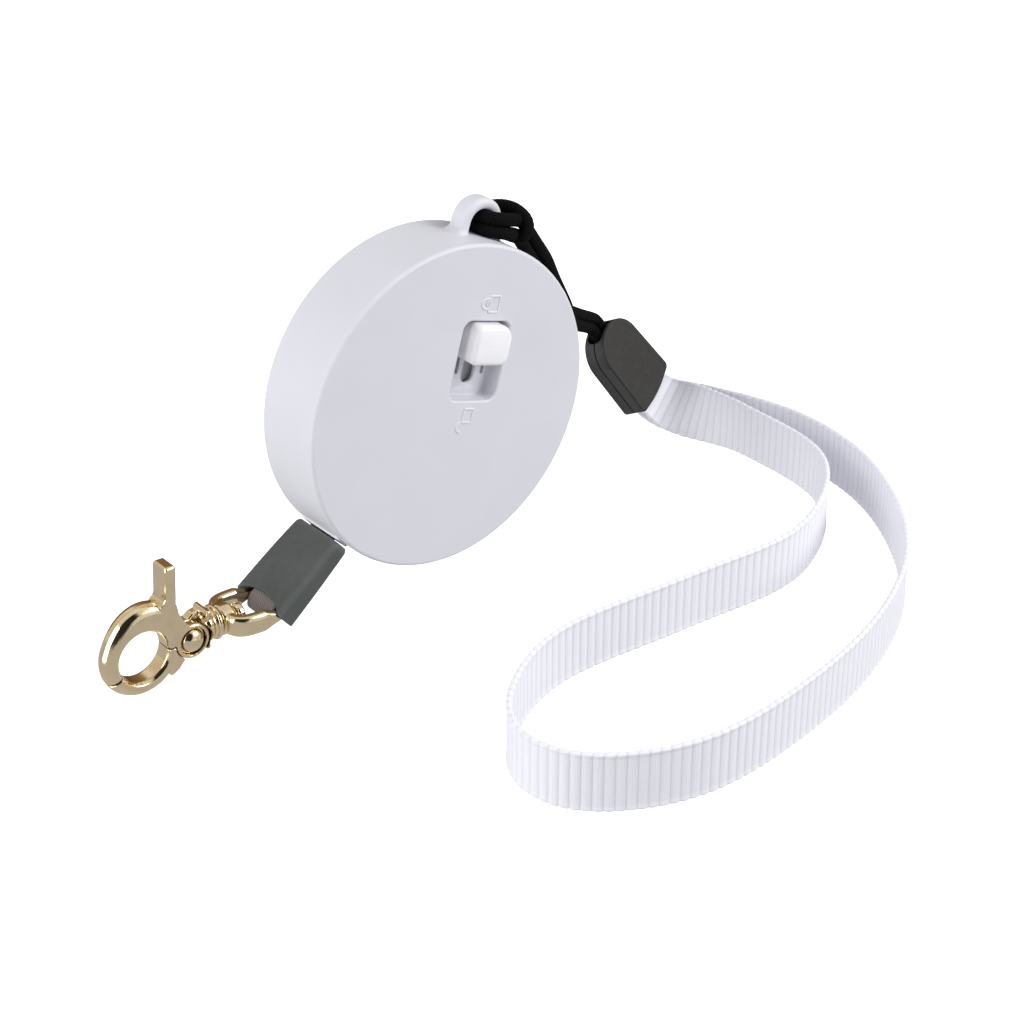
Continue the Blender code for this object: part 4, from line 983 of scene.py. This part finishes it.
def cord_path():
    """One cord, doubled: from the clip, hitched through the eyelet and back to the clip."""
    inside = CLIP @ Vector((-CLIP_LENGTH / 2 + 1.4, 0, 0))
    mouth_point = CLIP @ Vector((-CLIP_LENGTH / 2, 0, 0))
    before = CLIP @ Vector((-CLIP_LENGTH / 2 - 2.0, 0, 0))
    run = [(14.6, 33.5, 8.6), (19.4, 29.9, 7.6), (23.9, 26.6, 6.5), (28.4, 22.5, 5.0), (35.4, 17.0, 2.6),
           (42.3, 13.3, -0.6), (49.5, 11.1, -4.6)]
    middle = np.array([*run, tuple(before), tuple(mouth_point), tuple(inside)], float)
    across = np.array(CLIP.to_3x3() @ Vector((0, 1, 0)))
    sides = []
    for i, place in enumerate(middle):
        lean = min(1.0, max(0.0, (i - 2) / 5))
        radial = unit(place * (1, 1, 0))
        offset = unit(radial * (1 - lean) - across * lean) * (CORD_RADIUS + 0.01)
        sides.append((place + offset, place - offset))
    front = [(12.6, 36.0, 10.0), (9.6, 36.6, 11.3), (6.4, 36.75, 12.0), (3.6, 36.65, 11.0), (2.5, 36.6, 8.0)]
    behind = [(3.4, 36.6, 5.0), (5.6, 36.8, 3.9), (8.2, 37.2, 4.6)]
    bight = [(9.9, 38.0, 6.4), (11.0, 38.1, 9.0), (11.7, 37.0, 11.9), (11.9, 35.0, 12.8), (11.6, 33.4, 11.8),
             (11.1, 33.0, 9.2), (10.2, 33.3, 6.2)]
    return_behind = [(8.0, 34.0, 4.2), (5.2, 34.4, 4.0), (3.0, 34.4, 5.4)]
    return_front = [(2.5, 34.4, 8.0), (3.6, 34.3, 11.0), (6.4, 34.15, 12.0), (9.6, 33.8, 11.3), (12.6, 33.0, 9.8)]
    points = [side[0] for side in reversed(sides)] + front + behind + bight + return_behind + return_front
    return np.array(points + [side[1] for side in sides], float)


def make_cord():
    path = smooth_path(cord_path(), 10)
    lengths, path = resample(path, step=0.16)
    path = relax(path, 30)
    tangents = unit(np.gradient(path, axis=0))
    rulings = [np.array((0.0, 0.0, 1.0))]
    for before, after in zip(tangents, tangents[1:]):
        ruling = rulings[-1] - after * (rulings[-1] @ after)
        rulings.append(ruling / np.linalg.norm(ruling))
    around = np.linspace(0, 2 * pi, 40, endpoint=False)[None, :]
    twist = 2 * pi * lengths[:, None] / 6.2
    lattice = np.maximum(np.cos(4 * around + 4 * twist)**2, np.cos(4 * around - 4 * twist)**2)
    radius = CORD_RADIUS * (0.93 + 0.09 * lattice)
    section = np.stack([radius * np.cos(around), radius * np.sin(around)], -1)
    mesh = sweep("cord", path, rulings, section, lengths=lengths)
    cord = add("braided_cord", mesh)
    dress(cord, CORD, "lanyard", ["lanyard_cord"], angle=0)


def clip_outline(inset=0.0):
    """Bulged strap end with small corners, sides that widen towards it, and a wide round cord end."""
    length, half = CLIP_LENGTH / 2 - inset, CLIP_WIDTH / 2 - inset
    corner, nose, bulge = 1.2 - inset * 0.4, 6.6 - inset, 0.8
    points = []
    for i in range(13):
        y = -(half - corner) + 2 * (half - corner) * i / 12
        points.append((length - bulge * (y / half)**2, y))
    end = points[-1][0]
    points += arc((end - corner, half - corner), corner, 0, pi / 2, 8)[1:]
    points += arc((-length + nose, half - 0.5 - nose), nose, pi / 2, pi, 16)
    points += [(x, -y) for x, y in reversed(arc((-length + nose, half - 0.5 - nose), nose, pi / 2, pi, 16))]
    points += [(x, -y) for x, y in reversed(arc((end - corner, half - corner), corner, 0, pi / 2, 8)[1:])]
    return points


def make_clip_half(name, node, side):
    seam, outside, edge = 0.08, CLIP_THICKNESS / 2, 0.35
    levels = [(0.15, seam), (0.0, seam + 0.15), (0.0, outside - edge)]
    levels += [(edge * (1 - cos(t * pi / 16)), outside - edge + edge * sin(t * pi / 16)) for t in range(1, 9)]
    outlines = [clip_outline(inset) for inset, _ in levels]
    half = add(name, loft(name, outlines, [side * z for _, z in levels]), scaled(CLIP))
    length = CLIP_LENGTH / 2
    strap = rounded_rectangle((0, 0), 12.8, 2.9, 0.7, 4)
    pocket = grid_mesh("pocket", [[(x, a, b) for a, b in strap] for x in (1.0, length + 1)], caps=True)
    cord = rounded_rectangle((0, 0), 6.8, 4.2, 1.6, 6)
    hole = grid_mesh("hole", [[(x, a, b) for a, b in cord] for x in (-length - 1, -1.6)], caps=True)
    cut(half, add("pocket", pocket, scaled(CLIP)), add("hole", hole, scaled(CLIP)))
    dress(half, BLACK, "strap", [node], angle=32, weighted=True)


def scaled(matrix):
    """World placement of a millimetre frame of the front view."""
    moved = matrix.copy()
    moved.translation = matrix.translation * MM
    return FRONT_VIEW @ moved


def strap_stations():
    """Centre of the strap and how far it leans from upright to flat in the clip, round its loop."""
    end = CLIP_LENGTH / 2

    def clip_point(x, layer):
        return tuple(CLIP @ Vector((x, 0, layer)))

    ground = Vector((0.958, 0.287, 0.0))
    loop = [(71.8, 47.7), (47.8, 64.6), (18.4, 64.3), (-12.8, 62.9), (-31.9, 71.8), (-39.1, 83.1),
            (-33.9, 96.0), (-13.1, 104.8), (20.3, 101.0), (45.5, 91.4), (63.3, 77.5), (77.3, 56.0),
            (81.9, 36.0)]
    lead = end + 2.5
    stations = [(clip_point(x, STRAP_LAYER), 1.0) for x in (1.5, end, lead)]
    stations += [((78.3, -6.2, 3.5), 0.55), ((80.6, -5.6, 11.5), 0.2), ((80.1, -4.7, 21.6), 0.0)]
    stations += [(tuple(ground * s + STRAP_UP * STRAP_HEIGHT + Vector((0, 0, z))), 0.0) for s, z in loop]
    stations += [((84.6, -3.4, 21.6), 0.0), ((83.2, -5.3, 11.2), 0.2), ((80.2, -6.7, 2.6), 0.55)]
    return stations + [(clip_point(x, -STRAP_LAYER), 1.0) for x in (lead, end, 1.5)]


def make_strap():
    """Ribbed webbing with beaded selvedges."""
    stations = strap_stations()
    path = smooth_path([place for place, _ in stations], 24)
    leans = smooth_path([(lean, 0, 0) for _, lean in stations], 24)[:, :1]
    _, path, leans = resample(path, leans, step=1.0)
    path, leans = relax(path, 24, 4), relax(leans, 24, 4)
    path = smooth_path(path, 6)
    leans = smooth_path(np.repeat(leans, 3, 1), 6)[:, :1]
    lengths, path, leans = resample(path, leans, step=STRAP_RIB / 10)
    flat = np.array(CLIP.to_3x3() @ Vector((0, 1, 0)))
    leans = np.clip(leans, 0, 1)
    rulings = np.array(STRAP_UP) * (1 - leans) + flat * leans

    phase = np.abs(np.sin(pi * lengths / STRAP_RIB))
    ridge = (phase**0.7)[:, None]
    half = STRAP_WIDTH / 2
    bead = 0.44 + 0.17 * ridge
    inner = half - 0.9
    across = np.linspace(inner, -inner, 25)[None, :]
    through = 0.29 + 0.16 * ridge + 0 * across
    turns = np.linspace(-pi / 2, pi / 2, 9)[None, :]
    centre = half - 0.55
    right = np.stack([centre + bead * np.cos(turns), bead * 1.05 * np.sin(turns)], -1)
    left = np.stack([-centre - bead * np.cos(turns), -bead * 1.05 * np.sin(turns)], -1)
    top = np.stack([across + 0 * through, through], -1)
    bottom = np.stack([-across + 0 * through, -through], -1)
    section = np.concatenate([right, top, left, bottom], 1)
    mesh = sweep("strap", path, rulings, section, lengths=lengths)
    strap = add("webbing_strap", mesh)
    dress(strap, WEBBING, "strap", ["wrist_strap"], angle=0)


# Inside, kept from the frame


def dress_inside():
    """Materials for the nodes that are shown as they are."""
    looks = {
        "inner_plastic": INNER, "steel": STEEL, "woven_line": LINE, "white_plastic": WHITE,
        "gold_metal": GOLD, "black_plastic": BLACK, "slider_plastic": SLIDER, "dark_rubber": RUBBER,
        "black_cord": CORD, "white_webbing": WEBBING,
    }
    slots = {part["node"]: part["material_slot"] for part in frame["record"]["subparts"]}
    for name, node in frame["nodes"].items():
        if node.hide_render:
            continue
        node.data.materials.clear()
        node.data.materials.append(looks[slots[name]])


# Stage


def make_camera():
    camera = bpy.data.objects.new("camera", bpy.data.cameras.new("camera"))
    bpy.context.scene.collection.objects.link(camera)
    right = Vector((0.7361, -0.6400, 0.2203))
    up = Vector((0.0538, 0.3798, 0.9235))
    forward = Vector((0.6747, 0.6679, -0.3141))
    camera.matrix_world = (Matrix.Translation((-0.29099, -0.32625, 0.12312))
                           @ Matrix((right, up, -forward)).transposed().to_4x4())
    camera.data.lens = 80.86
    camera.data.sensor_width = 36.0
    camera.data.clip_start = 0.02
    camera.data.clip_end = 100
    bpy.context.scene.camera = camera


def make_light(name, place, target, size, power, colour=(1, 1, 1)):
    data = bpy.data.lights.new(name, "AREA")
    data.shape = "RECTANGLE"
    data.size, data.size_y = size
    data.energy = power
    data.color = colour
    light = bpy.data.objects.new(name, data)
    bpy.context.scene.collection.objects.link(light)
    light.location = place
    light.rotation_euler = (Vector(target) - Vector(place)).to_track_quat("-Z", "Y").to_euler()


def make_world():
    """White to the camera, a graded studio to matte surfaces, and a studio with dark cards to glossy ones."""
    world = bpy.data.worlds.new("studio")
    bpy.context.scene.world = world
    world.use_nodes = True
    tree = world.node_tree
    tree.nodes.clear()

    def node(kind, **inputs):
        new = tree.nodes.new(kind)
        for name, value in inputs.items():
            new.inputs[name.replace("_", " ")].default_value = value
        return new

    def ramp(source, stops, low=-1.0):
        scale = node("ShaderNodeMapRange", From_Min=low)
        colours = tree.nodes.new("ShaderNodeValToRGB")
        tree.links.new(source, scale.inputs["Value"])
        tree.links.new(scale.outputs["Result"], colours.inputs["Fac"])
        for i, (position, colour) in enumerate(stops):
            stop = colours.color_ramp.elements[i] if i < 2 else colours.color_ramp.elements.new(position)
            stop.position = position
            stop.color = (*colour, 1)
        return colours.outputs["Color"]

    def mixed(factor, first, second):
        mix = tree.nodes.new("ShaderNodeMixShader")
        tree.links.new(factor, mix.inputs["Fac"])
        tree.links.new(first, mix.inputs[1])
        tree.links.new(second, mix.inputs[2])
        return mix.outputs[0]

    place = tree.nodes.new("ShaderNodeTexCoord").outputs["Generated"]
    rays = tree.nodes.new("ShaderNodeLightPath")
    split = tree.nodes.new("ShaderNodeSeparateXYZ")
    tree.links.new(place, split.inputs[0])

    seen = node("ShaderNodeBackground", Color=(1, 1, 1, 1), Strength=1.0)
    room = node("ShaderNodeBackground", Strength=0.68)
    grey = [(0.0, 0.44), (0.35, 0.48), (0.5, 0.60), (0.75, 0.82), (1.0, 0.95)]
    tree.links.new(ramp(split.outputs["Z"], [(p, (v, v, v * 1.04)) for p, v in grey]), room.inputs["Color"])

    lens = tree.nodes.new("ShaderNodeVectorMath")
    lens.operation = "DOT_PRODUCT"
    lens.inputs[1].default_value = (-0.6747, -0.6679, 0.3141)
    tree.links.new(place, lens.inputs[0])
    cards = ramp(lens.outputs["Value"], [
        (0.0, (0.10, 0.06, 0.03)), (0.30, (0.30, 0.20, 0.10)), (0.40, (0.95, 0.92, 0.86)), (0.55, (0.55, 0.48, 0.36)),
        (0.62, (0.95, 0.94, 0.90)), (0.84, (0.80, 0.80, 0.78)), (0.88, (0.01, 0.01, 0.01)), (1.0, (0.02, 0.02, 0.02)),
    ])
    glossy = node("ShaderNodeBackground", Strength=0.95)
    tree.links.new(cards, glossy.inputs["Color"])
    around = mixed(rays.outputs["Is Glossy Ray"], room.outputs[0], glossy.outputs[0])
    output = tree.nodes.new("ShaderNodeOutputWorld")
    tree.links.new(mixed(rays.outputs["Is Camera Ray"], around, seen.outputs[0]), output.inputs["Surface"])


def make_floor():
    """Pale floor, far below so that the line can be drawn out to its full length."""
    mesh = bpy.data.meshes.new("floor")
    size, height = 20.0, -2.6
    mesh.from_pydata([(-size, -size, height), (size, -size, height), (size, size, height), (-size, size, height)],
                     [], [(0, 1, 2, 3)])
    floor = bpy.data.objects.new("floor", mesh)
    bpy.context.scene.collection.objects.link(floor)
    look = Look("floor_look", (0.9, 0.9, 0.9), 0.9)
    look.set("Emission Color", (1, 1, 1, 1))
    rays = look.node("ShaderNodeLightPath")
    look.link(rays.outputs["Is Camera Ray"], look.shader.inputs["Emission Strength"])
    floor.data.materials.append(look.material)


def make_stage():
    make_camera()
    make_world()
    make_floor()
    make_light("key", (0.45, -0.70, 0.70), (0, 0, 0), (0.6, 0.6), 8.0)
    make_light("side", (-0.9, 0.1, -0.05), (0, 0, 0), (0.7, 0.9), 6.0)
    bpy.context.scene.view_settings.view_transform = "Standard"


make_case()
make_slider()
make_rear()
make_sleeve()
make_line_end()
make_pulled_line()
make_eye()
make_hook_body()
make_jaw()
make_rivet()
make_cord()
make_clip_half("clip_top", "strap_clip_cover", 1)
make_clip_half("clip_bottom", "strap_clip_base", -1)
make_strap()
dress_inside()
make_stage()
